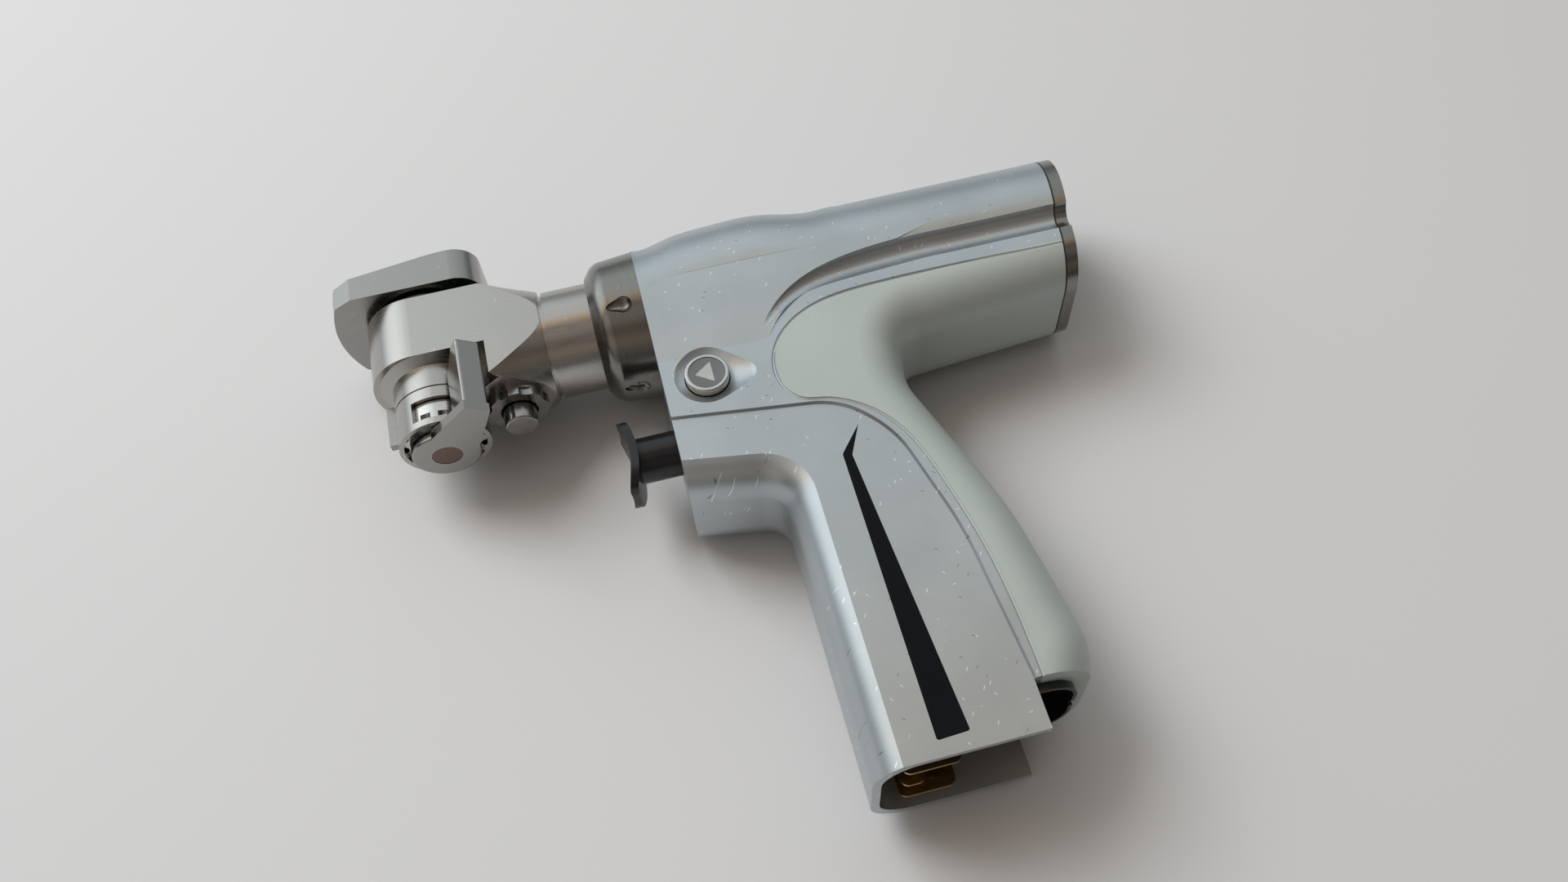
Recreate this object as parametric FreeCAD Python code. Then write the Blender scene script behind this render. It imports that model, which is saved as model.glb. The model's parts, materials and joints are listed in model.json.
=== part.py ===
import FreeCAD, Part
import math
import os

from FreeCAD import Vector

# Pistol-grip oscillating saw, lying on its right side.
# Building frame: X is the barrel axis and points to the rear, Y points from the
# grip to the top of the barrel, Z points to the tool's left side. x = 0 is the
# front face of the body. The finished pieces are moved so that the origin is at
# the bottom centre of the whole tool.

AXIS_X = Vector(1, 0, 0)
AXIS_Y = Vector(0, 1, 0)
AXIS_Z = Vector(0, 0, 1)

# Clearances
RUN_FIT = 0.05
SEAT_GAP = 0.3
SKIN_GAP = 0.25

# Reach of cutting forms past the solids that they cut, and the smallest length told apart from none
FAR = 200.0
TINY = 1e-6

# Body: barrel, flank and grip
BARREL_RADIUS = 21.3
BARREL_LENGTH = 118.0
REAR_SLANT = math.radians(8.0)
SLAB_REACH = 20.0
HUMP_HEIGHT = 3.4
HUMP_PEAK_X = 33.0
HUMP_END_X = 53.0
HUMP_STEPS = 3
HUMP_TAIL = 7.0
BODY_HALF_WIDTH = BARREL_RADIUS - 2.3
FRONT_RIM_RADIUS = 11.0
REAR_RIM_RADIUS = 11.5
NOSE_BOTTOM_Y = -64.6
NOSE_SLOPE = 0.17
GRIP_FRONT_X = 23.5
GRIP_BOTTOM_Y = -146.2
OUTLINE_OVERRUN = 14.0
GRIP_REAR_BOTTOM_X = 82.9
GRIP_REAR_BOTTOM_Y = -128.6
GRIP_REAR_TUCK = 0.5
GRIP_REAR_MID_X = 76.9
GRIP_REAR_MID_Y = -88.0
GRIP_REAR_BENDS = (20.0, 120.0)
WEB_X = 62.8
WEB_Y = -46.5
WEB_RADIUS = 18.0
WEB_LEAN = 2.2
FLANK_Y = -30.9
FLANK_SLOPE = 0.072
FLANK_CORNER = 9.0
NOSE_CORNER = 7.0
GRIP_TAPER = 0.5
FAIRING_BOTTOM_Y = -31.0
FAIRING_SINK = 0.01
FAIRING_DIVE = 0.3
FAIRING_REAR = [(26, FAIRING_BOTTOM_Y - 3.8, 4), (35, -19, 25), (58, -9.6, 40), (82, -2.8, 0)]

# Channel between the barrel tube and the flank
CHANNEL_RADIUS = 4.1
CHANNEL_Y = -9.6
CHANNEL_DEPTH = 1.7
CHANNEL_RUN_OUT = [
    (84, 0, 0, CHANNEL_RADIUS), (76, 0, 0, CHANNEL_RADIUS), (64, -0.7, 0.1, CHANNEL_RADIUS),
    (51, -2.4, 0.8, 3.6), (41, -5.6, 1.5, 2.8), (33, -11.0, 1.9, 2.0), (27, -17.0, 2.2, 1.2),
]

# Recessed front panel of the grip
PANEL_STEP = 0.8
PANEL_TOP_Y = -44.3
PANEL_REAR_X = 64.9
PANEL_SHOULDER = 0.6
PANEL_PATH = [(42.8, -7.0, 20), (53.8, -19.6, 30), (61.4, -49.9, 100)]
SKIN_LINE_RADIUS = 0.45
SKIN_LINE = [
    (BARREL_LENGTH + SLAB_REACH / 2, -17.4), (92, -17.4), (62, -17.4), (41, -21.2), (31, -30.5),
    (29.8, -43.2), (33.9, -48.3), (39.4, -49.8), (45.9, -52.8), (51.2, -57.2), (55.7, -63.6),
    (61.2, -80.4), (65.2, -101.5), (66.7, -120), (67.0, GRIP_BOTTOM_Y),
]

# Battery socket in the grip
SOCKET_WALL = 2.6
SOCKET_SIDE_WALL = 5.0
SOCKET_REAR_WALL = 5.4
SOCKET_FOOT_WALL = 5.5
MOUTH_WALL = 2.6
SOCKET_TOP_Y = -84.0
SOCKET_REAR_BOTTOM_X = GRIP_REAR_BOTTOM_X - SOCKET_FOOT_WALL
SOCKET_REAR_TOP_X = GRIP_REAR_MID_X - SOCKET_REAR_WALL
SOCKET_CORNER = 9.0
SOCKET_STEP_Y = -134.5
NOTCH_DEPTH = 3.2
NOTCH_WIDTH = 3.0
NOTCH_COVER = 5.2
LINER_WALL = 1.0
LINER_LIP = 2.0
LINER_BOTTOM_Y = SOCKET_STEP_Y - LINER_LIP

# Contacts in the socket
BLOCK_FRONT_X = 28.5
BLOCK_REAR_X = 48.5
BLOCK_HALF_WIDTH = 11.2
BLOCK_BOTTOM_Y = -130.0
BLOCK_CORNER = 3.4
TERMINAL_THICKNESS = 0.9
TERMINAL_TIP_Y = -145.6
TERMINAL_FRONT_X = 31.5
LONG_TERMINAL = 14.0
SHORT_TERMINAL = 6.0
TERMINAL_PITCH = 9.0
TERMINAL_CORNER = 2.0

# Rear cap
CAP_THICKNESS = 3.7
CAP_SPIGOT_LENGTH = 3.0
GASKET_THICKNESS = 0.5

# Motor and controller
BARREL_WALL = 3.8
MOTOR_BORE_RADIUS = BARREL_RADIUS - BARREL_WALL
MOTOR_BORE_FRONT_X = 12.0
CAN_FRONT_X = 28.0
CAN_REAR_SPACE = 16.0
CAN_LENGTH = BARREL_LENGTH - CAN_REAR_SPACE - CAN_FRONT_X
CAN_WALL = 2.6
WINDING_WALL = 4.4
WINDING_INSET = 3.0
WINDING_SLOTS = 6
WINDING_SLOT_WIDTH = 1.2
WINDING_RIM = 1.5
END_PLATE_THICKNESS = 6.0
SHAFT_RADIUS = 3.0
SHAFT_CLEARANCE = 1.5
SHAFT_JOIN_X = -2.0
ROTOR_GAP = 1.05
ROTOR_RADIUS = MOTOR_BORE_RADIUS - RUN_FIT - CAN_WALL - WINDING_WALL - ROTOR_GAP
ROTOR_INSET = 8.0
BEARING_RADIUS = 8.0
BEARING_WIDTH = 5.0
CONTROLLER_THICKNESS = 1.6

# Collar
NECK_RADIUS = 15.2
COLLAR_LENGTH = 14.5
COLLAR_SHOULDER_X = -9.0
COLLAR_REAR_RADIUS = BARREL_RADIUS - 0.3
COLLAR_SHOULDER_RADIUS = COLLAR_REAR_RADIUS - 0.8
COLLAR_FRONT_RADIUS = NECK_RADIUS + 2.6
COLLAR_LIP_RADIUS = NECK_RADIUS + 1.0
COLLAR_BOW = 0.45
COLLAR_LIP_LENGTH = 1.3
DIMPLE_COUNT = 5
DIMPLE_X = -5.4
DIMPLE_LIFT = 0.55
DIMPLE_DROP = 2.7
DIMPLE_RADIUS = 2.6
DIMPLE_TIP_RADIUS = 0.15
DIMPLE_LENGTH = 5.6

# Trigger
TRIGGER_Y = -44.1
TRIGGER_RADIUS = 6.2
TRIGGER_TRAVEL = 6.0
TRIGGER_STEM_END_X = 16.0
TRIGGER_BORE_END_X = 32.0
PAD_BACK_X = -10.2
PAD_THICKNESS = 2.2
PAD_TIP_FORWARD = 2.2
PAD_TOP_Y = -34.0
PAD_BOTTOM_Y = -55.5
PAD_CORNERS = (5.0, 6.0)
PAD_SADDLE_RADIUS = 30.0
PAD_SADDLE_BITE = 0.4
PAD_HALF_WIDTH = 8.5
BUSH_RADIUS = 9.0
BUSH_LENGTH = 8.0
TRIGGER_MAGNET_RADIUS = 3.0
TRIGGER_MAGNET_LENGTH = 2.0
TRIGGER_SPRING_RADIUS = 4.9
TRIGGER_WIRE_RADIUS = 0.5
TRIGGER_SPRING_PITCH = 1.6
TRIGGER_SPRING_PLAY = 1.0
SENSOR_RADIUS = 3.6
SENSOR_THICKNESS = 1.0

# Mode button
BUTTON_X = 11.7
BUTTON_Y = -34.6
BUTTON_RADIUS = 5.8
BUTTON_RING_WALL = 0.9
BUTTON_FACE_Z = BODY_HALF_WIDTH + 1.2
BUTTON_RIM_RADIUS = 0.4
BUTTON_WELL = 1.2
BUTTON_FACE_THICKNESS = 1.0
BUTTON_HEIGHT = 5.0
BUTTON_TRAVEL = 1.0
BUTTON_SPRING_SPACE = 3.0
BUTTON_SPRING_RADIUS = 3.6
BUTTON_WIRE_RADIUS = 0.35
BUTTON_SPRING_PITCH = 1.1
DISH_RADIUS = 8.6
DISH_DEPTH = 2.8
DISH_TIP_REACH = 9.5
DISH_TIP_RADIUS = 3.4
DISH_TIP_DEPTH = 0.7
DISH_TILT = math.radians(-8.0)
TRIANGLE_FRONT = 3.1
TRIANGLE_REAR = 1.5
TRIANGLE_HALF_BASE = 3.2
TRIANGLE_THICKNESS = 0.45
TRIANGLE_SINK = 0.15
TRIANGLE_CORNER = 0.2

# Printed stripe on the grip
STRIPE_THICKNESS = 0.2
STRIPE_OUTLINE = [
    (45.5, -59.1, 0), (41.6, -67.4, 1.5), (47.4, -142.0, 0.6), (39.6, -142.4, 0.6), (39.3, -66.6, 1.5),
]

# Head
HEAD_X = -60.4
HEAD_RADIUS = 17.3
HEAD_HALF_WIDTH = 15.5
HEAD_EDGE_RADIUS = 14.0
HEAD_TOP_Y = 15.2
HEAD_BOTTOM_Y = -4.8
NECK_FRONT_X = -28.4
GROOVE_WIDTH = 1.3
GROOVE_DEPTH = 0.9
BELLY_Y = -16.0
FLARE_STEPS = [(0, 0.5), (2.6, 1.5), (7.3, 3.2), (11.6, 5.0), (16.6, 7.2), (23.6, 9.4), (33.6, 11.2)]
RELIEF_RADIUS = 22.6
RELIEF_WEDGE = math.radians(35.0)
RELIEF_REACH = RELIEF_RADIUS + HEAD_RADIUS
RELIEF_OVERRUN = 4.0
STACK_RADIUS = 12.3
STACK_SHOULDER = 1.6
STACK_STEP_Y = -17.0
STACK_GROOVE_Y = -13.7
STACK_GROOVE_WIDTH = 0.5
STACK_GROOVE_DEPTH = 0.4
CUP_BOTTOM_Y = -25.3
CUP_WALL = 1.3
CUP_RIM_HEIGHT = 1.9
WINDOW_START = math.radians(40.0)
WINDOW_END = math.radians(118.0)
KEY_GAP = 0.02
KEY_DEPTH = 2.3
KEY_WIDTH = 2.4
KEY_TOP_Y = -9.6
KEY_BOTTOM_Y = -22.0

# Oscillating drive
DRIVE_RADIUS = 6.0
DRIVE_BEARING_RADIUS = 9.0
DRIVE_BEARING_WIDTH = 4.5
DRIVE_BEARING_COVER = 1.2
DRIVE_BEARING_LEDGE = 2.0
NECK_BEARING_X = -26.0
DRIVE_BOTTOM_Y = -14.5
SEAT_RADIUS = 14.6
SEAT_THICKNESS = 1.1
SEAT_PIN_SINK = 0.5
SEAT_PIN_GAP = 0.25
BLADE_GAP = 1.0
SEAT_PIN_COUNT = 4
SEAT_PIN_RADIUS = 1.1
SEAT_PIN_CIRCLE = 10.0
ECCENTRIC = 0.5
BLADE_SWING = math.radians(2.5)
CRANK_PIN_RADIUS = 1.6
CRANK_PIN_FRONT_X = -52.0
CRANK_PIN_LENGTH = 6.0
FORK_WALL = 2.4
FORK_HEIGHT = 7.0
FORK_SETBACK = 0.6
FORK_ROOM = 0.8
FORK_ROOT = 1.0
FORK_OPEN_FIT = 0.15

# Blade clamp
CLAMP_FRONT_X = -86.0
CLAMP_FRONT_RADIUS = 35.0
CLAMP_HALF_WIDTH = 17.0
CLAMP_REAR_X = -42.6
CLAMP_REAR_CORNER = 7.6
CLAMP_FRONT_HEIGHT = 6.6
CLAMP_REAR_HEIGHT = 10.6
CLAMP_FLAT_X = -54.0
CLAMP_FLAT_BEND = 60.0
CLAMP_CHAMFER = 3.6
CLAMP_SLIT = (1.5, 3.6, 1.4)
CLAMP_SLIT_Z = 6.2
DRAWBAR_RADIUS = 4.05
DRAWBAR_SINK = 3.5
DRAWBAR_END_GAP = 0.1
HUB_RADIUS = 9.3
HUB_BOTTOM_Y = -28.3
HUB_THICKNESS = 2.7
HUB_RIM_RADIUS = 0.7
CAM_SHOULDER = 0.8
CAM_RADIUS = 6.6
CAM_TOP_Y = -21.5
LEVER_ANGLE = math.radians(55.0)
LEVER_REACH = 21.6
LEVER_INNER = LEVER_REACH - 7.4
LEVER_EDGE_RADIUS = 0.8
LEVER_TOP_FLAT = 2.6
LEVER_SLANT_DROP = 7.5
LEVER_ARM_INSET = 1.2
LEVER_THICKNESS = 7.0
LEVER_TOP_Y = -5.1
LOCK_RING_RADIUS = 10.9
LOCK_RING_TOP_Y = -17.3
LOCK_RING_BOTTOM_Y = -23.6
LOCK_RING_FLOOR = 1.5
SCALLOP_COUNT = 14
SCALLOP_RADIUS = 1.5
SCALLOP_OFFSET = 0.4
SCALLOP_HEIGHT = 2.8

# Head release plunger
PLUNGER_X = -39.4
PLUNGER_RADIUS = 4.6
PLUNGER_TIP_Y = -24.5
PLUNGER_TOP_Y = -11.2
PLUNGER_TRAVEL = 2.4
PLUNGER_END_GAP = 0.4
PLUNGER_RIM_RADIUS = 0.6
PLUNGER_BOSS_HEIGHT = 14.0
PLUNGER_BOSS_RADIUS = 9.2
NUT_RADIUS = 8.4
NUT_THICKNESS = 3.4
NUT_BORE_RADIUS = 5.2
NUT_LOBES = 8
NUT_FLUTE_RADIUS = 3.6
NUT_FLUTE_DEPTH = 0.7
NUT_WEB = 1.2


def disc_x(start_x, length, radius, y=0.0, z=0.0):
    return Part.makeCylinder(radius, length, Vector(start_x, y, z), AXIS_X)


def disc_y(start_y, length, radius, x=HEAD_X, z=0.0):
    return Part.makeCylinder(radius, length, Vector(x, start_y, z), AXIS_Y)


def disc_z(start_z, length, radius, x, y):
    return Part.makeCylinder(radius, length, Vector(x, y, start_z), AXIS_Z)


def ring_x(start_x, length, outer, inner, y=0.0, z=0.0):
    return disc_x(start_x, length, outer, y, z).cut(disc_x(start_x, length, inner, y, z))


def ring_y(start_y, length, outer, inner, x=HEAD_X, z=0.0):
    return disc_y(start_y, length, outer, x, z).cut(disc_y(start_y, length, inner, x, z))


def box(x0, x1, y0, y1, z0, z1):
    return Part.makeBox(x1 - x0, y1 - y0, z1 - z0, Vector(x0, y0, z0))


def fuse_all(shapes):
    result = shapes[0].multiFuse(shapes[1:])
    return result.removeSplitter()


def tangent_trim(corner, before, after, radius):
    """Distance from a corner to where an arc of this radius touches both sides."""
    turn = (before - corner).getAngle(after - corner)
    return radius / math.tan(turn / 2.0)


def rounded_wire(corners, place):
    """Closed outline through (u, v, radius) corners; place(u, v) gives the point."""
    points = [place(u, v) for u, v, radius in corners]
    edges = []
    ends = []
    count = len(points)
    for index in range(count):
        radius = corners[index][2]
        corner = points[index]
        before = points[index - 1]
        after = points[(index + 1) % count]
        if radius == 0:
            ends.append((corner, corner))
            continue
        trim = tangent_trim(corner, before, after, radius)
        start = corner + (before - corner).normalize() * trim
        end = corner + (after - corner).normalize() * trim
        bisector = ((before - corner).normalize() + (after - corner).normalize()).normalize()
        centre_distance = math.hypot(radius, trim)
        middle = corner + bisector * (centre_distance - radius)
        edges.append(Part.Arc(start, middle, end).toShape())
        ends.append((start, end))
    for index in range(count):
        start = ends[index][1]
        end = ends[(index + 1) % count][0]
        if start.distanceToPoint(end) > TINY:
            edges.append(Part.LineSegment(start, end).toShape())
    return Part.Wire(Part.__sortEdges__(edges))


def side_outline(corners, z):
    return rounded_wire(corners, lambda x, y: Vector(x, y, z))


def side_pad(corners, z0, z1):
    face = Part.Face(side_outline(corners, z0))
    return face.extrude(Vector(0, 0, z1 - z0))


def spline_edge(points):
    curve = Part.BSplineCurve()
    curve.interpolate([Vector(*point) for point in points])
    return curve.toShape()


def sweep_round(points, radius):
    """Round bar along a smooth path that starts in the X direction."""
    path = Part.Wire(spline_edge(points))
    circle = Part.Circle(Vector(*points[0]), AXIS_X, radius)
    pipe = Part.BRepOffsetAPI.MakePipeShell(path)
    pipe.setBiNormalMode(AXIS_Z)
    pipe.add(Part.Wire(circle.toShape()))
    pipe.build()
    pipe.makeSolid()
    return pipe.shape()


# Body outer form

def hump_lift(x):
    """Height of the barrel centre over the axis: rises to the hump, then falls."""
    if x <= 0 or x >= HUMP_END_X:
        return 0.0
    if x < HUMP_PEAK_X:
        return HUMP_HEIGHT * math.sin(0.5 * math.pi * x / HUMP_PEAK_X)
    fall = (x - HUMP_PEAK_X) / (HUMP_END_X - HUMP_PEAK_X)
    return HUMP_HEIGHT * 0.5 * (1 + math.cos(math.pi * fall))


def barrel_section(x):
    circle = Part.Circle(Vector(x, hump_lift(x), 0), AXIS_X, BARREL_RADIUS)
    return Part.Wire(circle.toShape())


def barrel_form():
    """Barrel tube with the hump behind its front face."""
    rise = HUMP_PEAK_X / HUMP_STEPS
    fall = (HUMP_END_X - HUMP_PEAK_X) / HUMP_STEPS
    stations = [rise * step for step in range(HUMP_STEPS)]
    stations += [HUMP_PEAK_X + fall * step for step in range(HUMP_STEPS + 1)]
    stations.append(HUMP_END_X + HUMP_TAIL)
    front = Part.makeLoft([barrel_section(x) for x in stations], True, False)
    rear = disc_x(stations[-1], BARREL_LENGTH + SLAB_REACH - stations[-1], BARREL_RADIUS)
    return front.fuse(rear)


def grip_corners():
    """Side outline of nose, grip and flank; the ends that get cut off reach past the body."""
    past_front = -OUTLINE_OVERRUN
    past_rear = BARREL_LENGTH + SLAB_REACH
    past_bottom = GRIP_BOTTOM_Y - OUTLINE_OVERRUN
    nose_front_y = NOSE_BOTTOM_Y - NOSE_SLOPE * past_front
    nose_rear_y = NOSE_BOTTOM_Y - NOSE_SLOPE * GRIP_FRONT_X
    flank_rear_y = FLANK_Y + FLANK_SLOPE * (past_rear - WEB_X)
    past_rear_x = GRIP_REAR_BOTTOM_X + GRIP_REAR_TUCK * (past_bottom - GRIP_REAR_BOTTOM_Y)
    inside_barrel_y = BARREL_RADIUS / 3
    low_bend, mid_bend = GRIP_REAR_BENDS
    return [
        (past_front, inside_barrel_y, 0),
        (past_front, nose_front_y, 0),
        (GRIP_FRONT_X, nose_rear_y, NOSE_CORNER),
        (GRIP_FRONT_X + GRIP_TAPER, past_bottom, 0),
        (past_rear_x, past_bottom, 0),
        (GRIP_REAR_BOTTOM_X, GRIP_REAR_BOTTOM_Y, low_bend),
        (GRIP_REAR_MID_X, GRIP_REAR_MID_Y, mid_bend),
        (WEB_X, WEB_Y, WEB_RADIUS),
        (WEB_X + WEB_LEAN, FLANK_Y, FLANK_CORNER),
        (past_rear, flank_rear_y, 0),
        (past_rear, inside_barrel_y, 0),
    ]


def side_rims(form):
    """Edges that lie in one of the flat sides."""
    return [edge for edge in form.Edges
            if edge.BoundBox.ZLength < TINY and abs(abs(edge.BoundBox.ZMin) - BODY_HALF_WIDTH) < TINY]


def is_front_run(edge):
    """True on the nose underside and the grip front."""
    middle = edge.CenterOfMass
    past_front = -OUTLINE_OVERRUN + SKIN_GAP
    past_grip = GRIP_FRONT_X + GRIP_TAPER + NOSE_CORNER / 2
    return past_front < middle.x < past_grip and middle.y < FLANK_Y


def is_rear_run(edge):
    """True on the grip rear, the web and the flank underside."""
    middle = edge.CenterOfMass
    low = GRIP_BOTTOM_Y - OUTLINE_OVERRUN / 2
    return middle.x > GRIP_FRONT_X + OUTLINE_OVERRUN and low < middle.y < FLANK_Y / 2


def grip_form():
    form = side_pad(grip_corners(), -BODY_HALF_WIDTH, BODY_HALF_WIDTH)
    form = form.makeFillet(FRONT_RIM_RADIUS, [edge for edge in side_rims(form) if is_front_run(edge)])
    return form.makeFillet(REAR_RIM_RADIUS, [edge for edge in side_rims(form) if is_rear_run(edge)])


def nose_fairing():
    """Fills the corner between the barrel tube and the flat sides at the front.

    Its sides lean so that they leave the tube at a tangent.
    """
    low_z = BODY_HALF_WIDTH - FAIRING_DIVE
    reach = math.hypot(FAIRING_BOTTOM_Y, low_z)
    lean = math.atan2(-FAIRING_BOTTOM_Y, low_z) - math.acos(BARREL_RADIUS / reach)
    top_y = -BARREL_RADIUS * math.sin(lean)
    top_z = BARREL_RADIUS * math.cos(lean) - FAIRING_SINK
    inner_z = top_z - BARREL_WALL
    section = [
        (BARREL_WALL, inner_z), (top_y, top_z), (FAIRING_BOTTOM_Y, low_z),
        (FAIRING_BOTTOM_Y, -low_z), (top_y, -top_z), (BARREL_WALL, -inner_z),
    ]
    start_x = -SEAT_GAP
    points = [Vector(start_x, y, z) for y, z in section]
    wedge = Part.Face(Part.makePolygon(points + [points[0]])).extrude(Vector(FAR, 0, 0))
    past_y = FAIRING_BOTTOM_Y - BARREL_WALL
    end_x = FAIRING_REAR[-1][0]
    outline = [(start_x, BARREL_WALL, 0), (start_x, past_y, 0)] + FAIRING_REAR + [(end_x, BARREL_WALL, 0)]
    return wedge.common(side_pad(outline, -FAR, FAR))


def both_sides(right_tool):
    """A form on the right side of the tool together with its mirror image."""
    return [right_tool, right_tool.mirror(Vector(0, 0, 0), AXIS_Z)]


def channel_tool():
    """Channel under the barrel tube on the right side, narrowing as it runs out to the front."""
    floor_z = CHANNEL_DEPTH - BODY_HALF_WIDTH
    stations = [(x, CHANNEL_Y + down, floor_z - rise, radius) for x, down, rise, radius in CHANNEL_RUN_OUT]
    centres = [Vector(x, y, z - radius) for x, y, z, radius in stations]
    rings = []
    for index, centre in enumerate(centres):
        behind = centres[max(index - 1, 0)]
        ahead = centres[min(index + 1, len(centres) - 1)]
        ring = Part.Wire(Part.Circle(Vector(0, 0, 0), AXIS_X, stations[index][3]).toShape())
        ring.Placement = FreeCAD.Placement(centre, FreeCAD.Rotation(AXIS_X, behind - ahead))
        rings.append(ring)
    start = centres[0]
    straight = disc_x(start.x, BARREL_LENGTH + SLAB_REACH - start.x, CHANNEL_RADIUS, start.y, start.z)
    return straight.fuse(Part.makeLoft(rings, True))


def panel_corners():
    """Front panel: nose underside and grip front, up to the raised step line."""
    past_front = -OUTLINE_OVERRUN / 2
    past_bottom = GRIP_BOTTOM_Y - OUTLINE_OVERRUN
    step_line = [(x, PANEL_TOP_Y + down, bend) for x, down, bend in PANEL_PATH]
    return [
        (past_front, PANEL_TOP_Y, 0),
        *step_line,
        (PANEL_REAR_X, SOCKET_STEP_Y, 0),
        (PANEL_REAR_X, past_bottom, 0),
        (past_front, past_bottom, 0),
    ]


def panel_tool():
    """Recess of the front panel on the right side, with a sloped shoulder."""
    lower = side_outline(panel_corners(), PANEL_STEP - BODY_HALF_WIDTH)
    grown = [(x + PANEL_SHOULDER, y + PANEL_SHOULDER, radius) for x, y, radius in panel_corners()]
    upper = side_outline(grown, PANEL_STEP - BODY_HALF_WIDTH - 2 * PANEL_SHOULDER)
    return Part.makeLoft([lower, upper], True, True)


def skin_line_tool():
    """Fine engraved line that bounds the pale grip skin on the right side."""
    return sweep_round([(x, y, -BODY_HALF_WIDTH) for x, y in SKIN_LINE], SKIN_LINE_RADIUS)


def rear_slab(offset, thickness):
    """Slab parallel to the slanted rear face, starting at this distance from it."""
    slab = box(BARREL_LENGTH + offset, BARREL_LENGTH + offset + thickness, -FAR, FAR, -FAR, FAR)
    slab.rotate(Vector(BARREL_LENGTH, 0, 0), AXIS_Z, -math.degrees(REAR_SLANT))
    return slab


def body_blank():
    """Outer form of the body, longer than the body at the rear."""
    blank = fuse_all([barrel_form(), grip_form(), nose_fairing()])
    blank = blank.cut(box(-FAR, 0, -FAR, FAR, -FAR, FAR))
    blank = blank.cut(box(-FAR, FAR, GRIP_BOTTOM_Y - FAR, GRIP_BOTTOM_Y, -FAR, FAR))
    return blank.cut(both_sides(channel_tool()))


# Openings in the body

def socket_section(y, wall, side_wall=SOCKET_SIDE_WALL):
    share = (y - SOCKET_TOP_Y) / (GRIP_BOTTOM_Y - SOCKET_TOP_Y)
    rear = SOCKET_REAR_TOP_X + share * (SOCKET_REAR_BOTTOM_X - SOCKET_REAR_TOP_X) - wall
    front = GRIP_FRONT_X + SOCKET_WALL + wall
    half = BODY_HALF_WIDTH - side_wall - wall
    corner = SOCKET_CORNER - wall
    corners = [(front, -half, corner), (rear, -half, corner), (rear, half, corner), (front, half, corner)]
    return rounded_wire(corners, lambda x, z: Vector(x, y, z))


def socket_cavity():
    past_bottom = GRIP_BOTTOM_Y - SEAT_GAP
    return Part.makeLoft([socket_section(past_bottom, 0), socket_section(SOCKET_TOP_Y, 0)], True, True)


def socket_mouth():
    """Wider mouth below the ledge, where the walls are thin."""
    past_bottom = GRIP_BOTTOM_Y - SEAT_GAP
    sections = [socket_section(y, 0, MOUTH_WALL) for y in (past_bottom, SOCKET_STEP_Y)]
    return Part.makeLoft(sections, True, True)


def catch_notch():
    """Notch for the battery catch in the rear wall of the mouth."""
    start_x = SOCKET_REAR_BOTTOM_X - SOCKET_REAR_WALL
    end_x = GRIP_REAR_BOTTOM_X - NOTCH_COVER
    half = NOTCH_WIDTH / 2
    return box(start_x, end_x, GRIP_BOTTOM_Y, SOCKET_STEP_Y + NOTCH_DEPTH, -half, half)


def socket_step_tool():
    """Raised rear half of the socket mouth."""
    return box(PANEL_REAR_X, FAR, GRIP_BOTTOM_Y - FAR, SOCKET_STEP_Y, -FAR, FAR)


def button_recess():
    """Dish about the button, drawn out to the rear: a large and a small ball with their common cone."""
    big = (DISH_RADIUS ** 2 + DISH_DEPTH ** 2) / (2 * DISH_DEPTH)
    small = (DISH_TIP_RADIUS ** 2 + DISH_TIP_DEPTH ** 2) / (2 * DISH_TIP_DEPTH)
    rise = (small - DISH_TIP_DEPTH) - (big - DISH_DEPTH)
    length = math.hypot(DISH_TIP_REACH, rise)
    turn = math.acos((big - small) / length)

    def around(centre_x, size, angle):
        return Vector(centre_x + size * math.cos(angle), size * math.sin(angle), 0)

    big_arc = [around(0, big, angle) for angle in (math.pi, (math.pi + turn) / 2, turn)]
    small_arc = [around(length, small, angle) for angle in (turn, turn / 2, 0)]
    outline = Part.Wire([
        Part.Arc(*big_arc).toShape(),
        Part.LineSegment(big_arc[-1], small_arc[0]).toShape(),
        Part.Arc(*small_arc).toShape(),
        Part.LineSegment(small_arc[-1], big_arc[0]).toShape(),
    ])
    scoop = Part.Face(outline).revolve(Vector(0, 0, 0), AXIS_X, 360)
    scoop.rotate(Vector(0, 0, 0), AXIS_Y, -math.degrees(math.atan2(rise, DISH_TIP_REACH)))
    scoop.rotate(Vector(0, 0, 0), AXIS_Z, math.degrees(DISH_TILT))
    scoop.translate(Vector(BUTTON_X, BUTTON_Y, BODY_HALF_WIDTH - DISH_DEPTH + big))
    return scoop


def button_bore():
    bottom = BUTTON_FACE_Z - BUTTON_HEIGHT - BUTTON_TRAVEL - BUTTON_SPRING_SPACE
    return disc_z(bottom, FAR, BUTTON_RADIUS + SKIN_GAP, BUTTON_X, BUTTON_Y)


def housing(blank):
    body = blank
    for tool in both_sides(panel_tool()) + both_sides(skin_line_tool()):
        body = body.cut(tool)
    body = body.cut(rear_slab(0, FAR))
    body = body.cut(disc_x(MOTOR_BORE_FRONT_X, BARREL_LENGTH, MOTOR_BORE_RADIUS))
    body = body.cut(disc_x(0, MOTOR_BORE_FRONT_X, NECK_RADIUS + SEAT_GAP))
    body = body.cut(socket_cavity())
    body = body.cut(socket_mouth())
    body = body.cut(socket_step_tool())
    body = body.cut(catch_notch())
    body = body.cut(disc_x(0, BUSH_LENGTH, BUSH_RADIUS + RUN_FIT, TRIGGER_Y))
    body = body.cut(disc_x(0, TRIGGER_BORE_END_X, TRIGGER_RADIUS + SEAT_GAP, TRIGGER_Y))
    body = body.cut(button_recess())
    body = body.cut(button_bore())
    return body.cut(both_sides(stripe_form()))


# Pieces on the body

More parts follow.
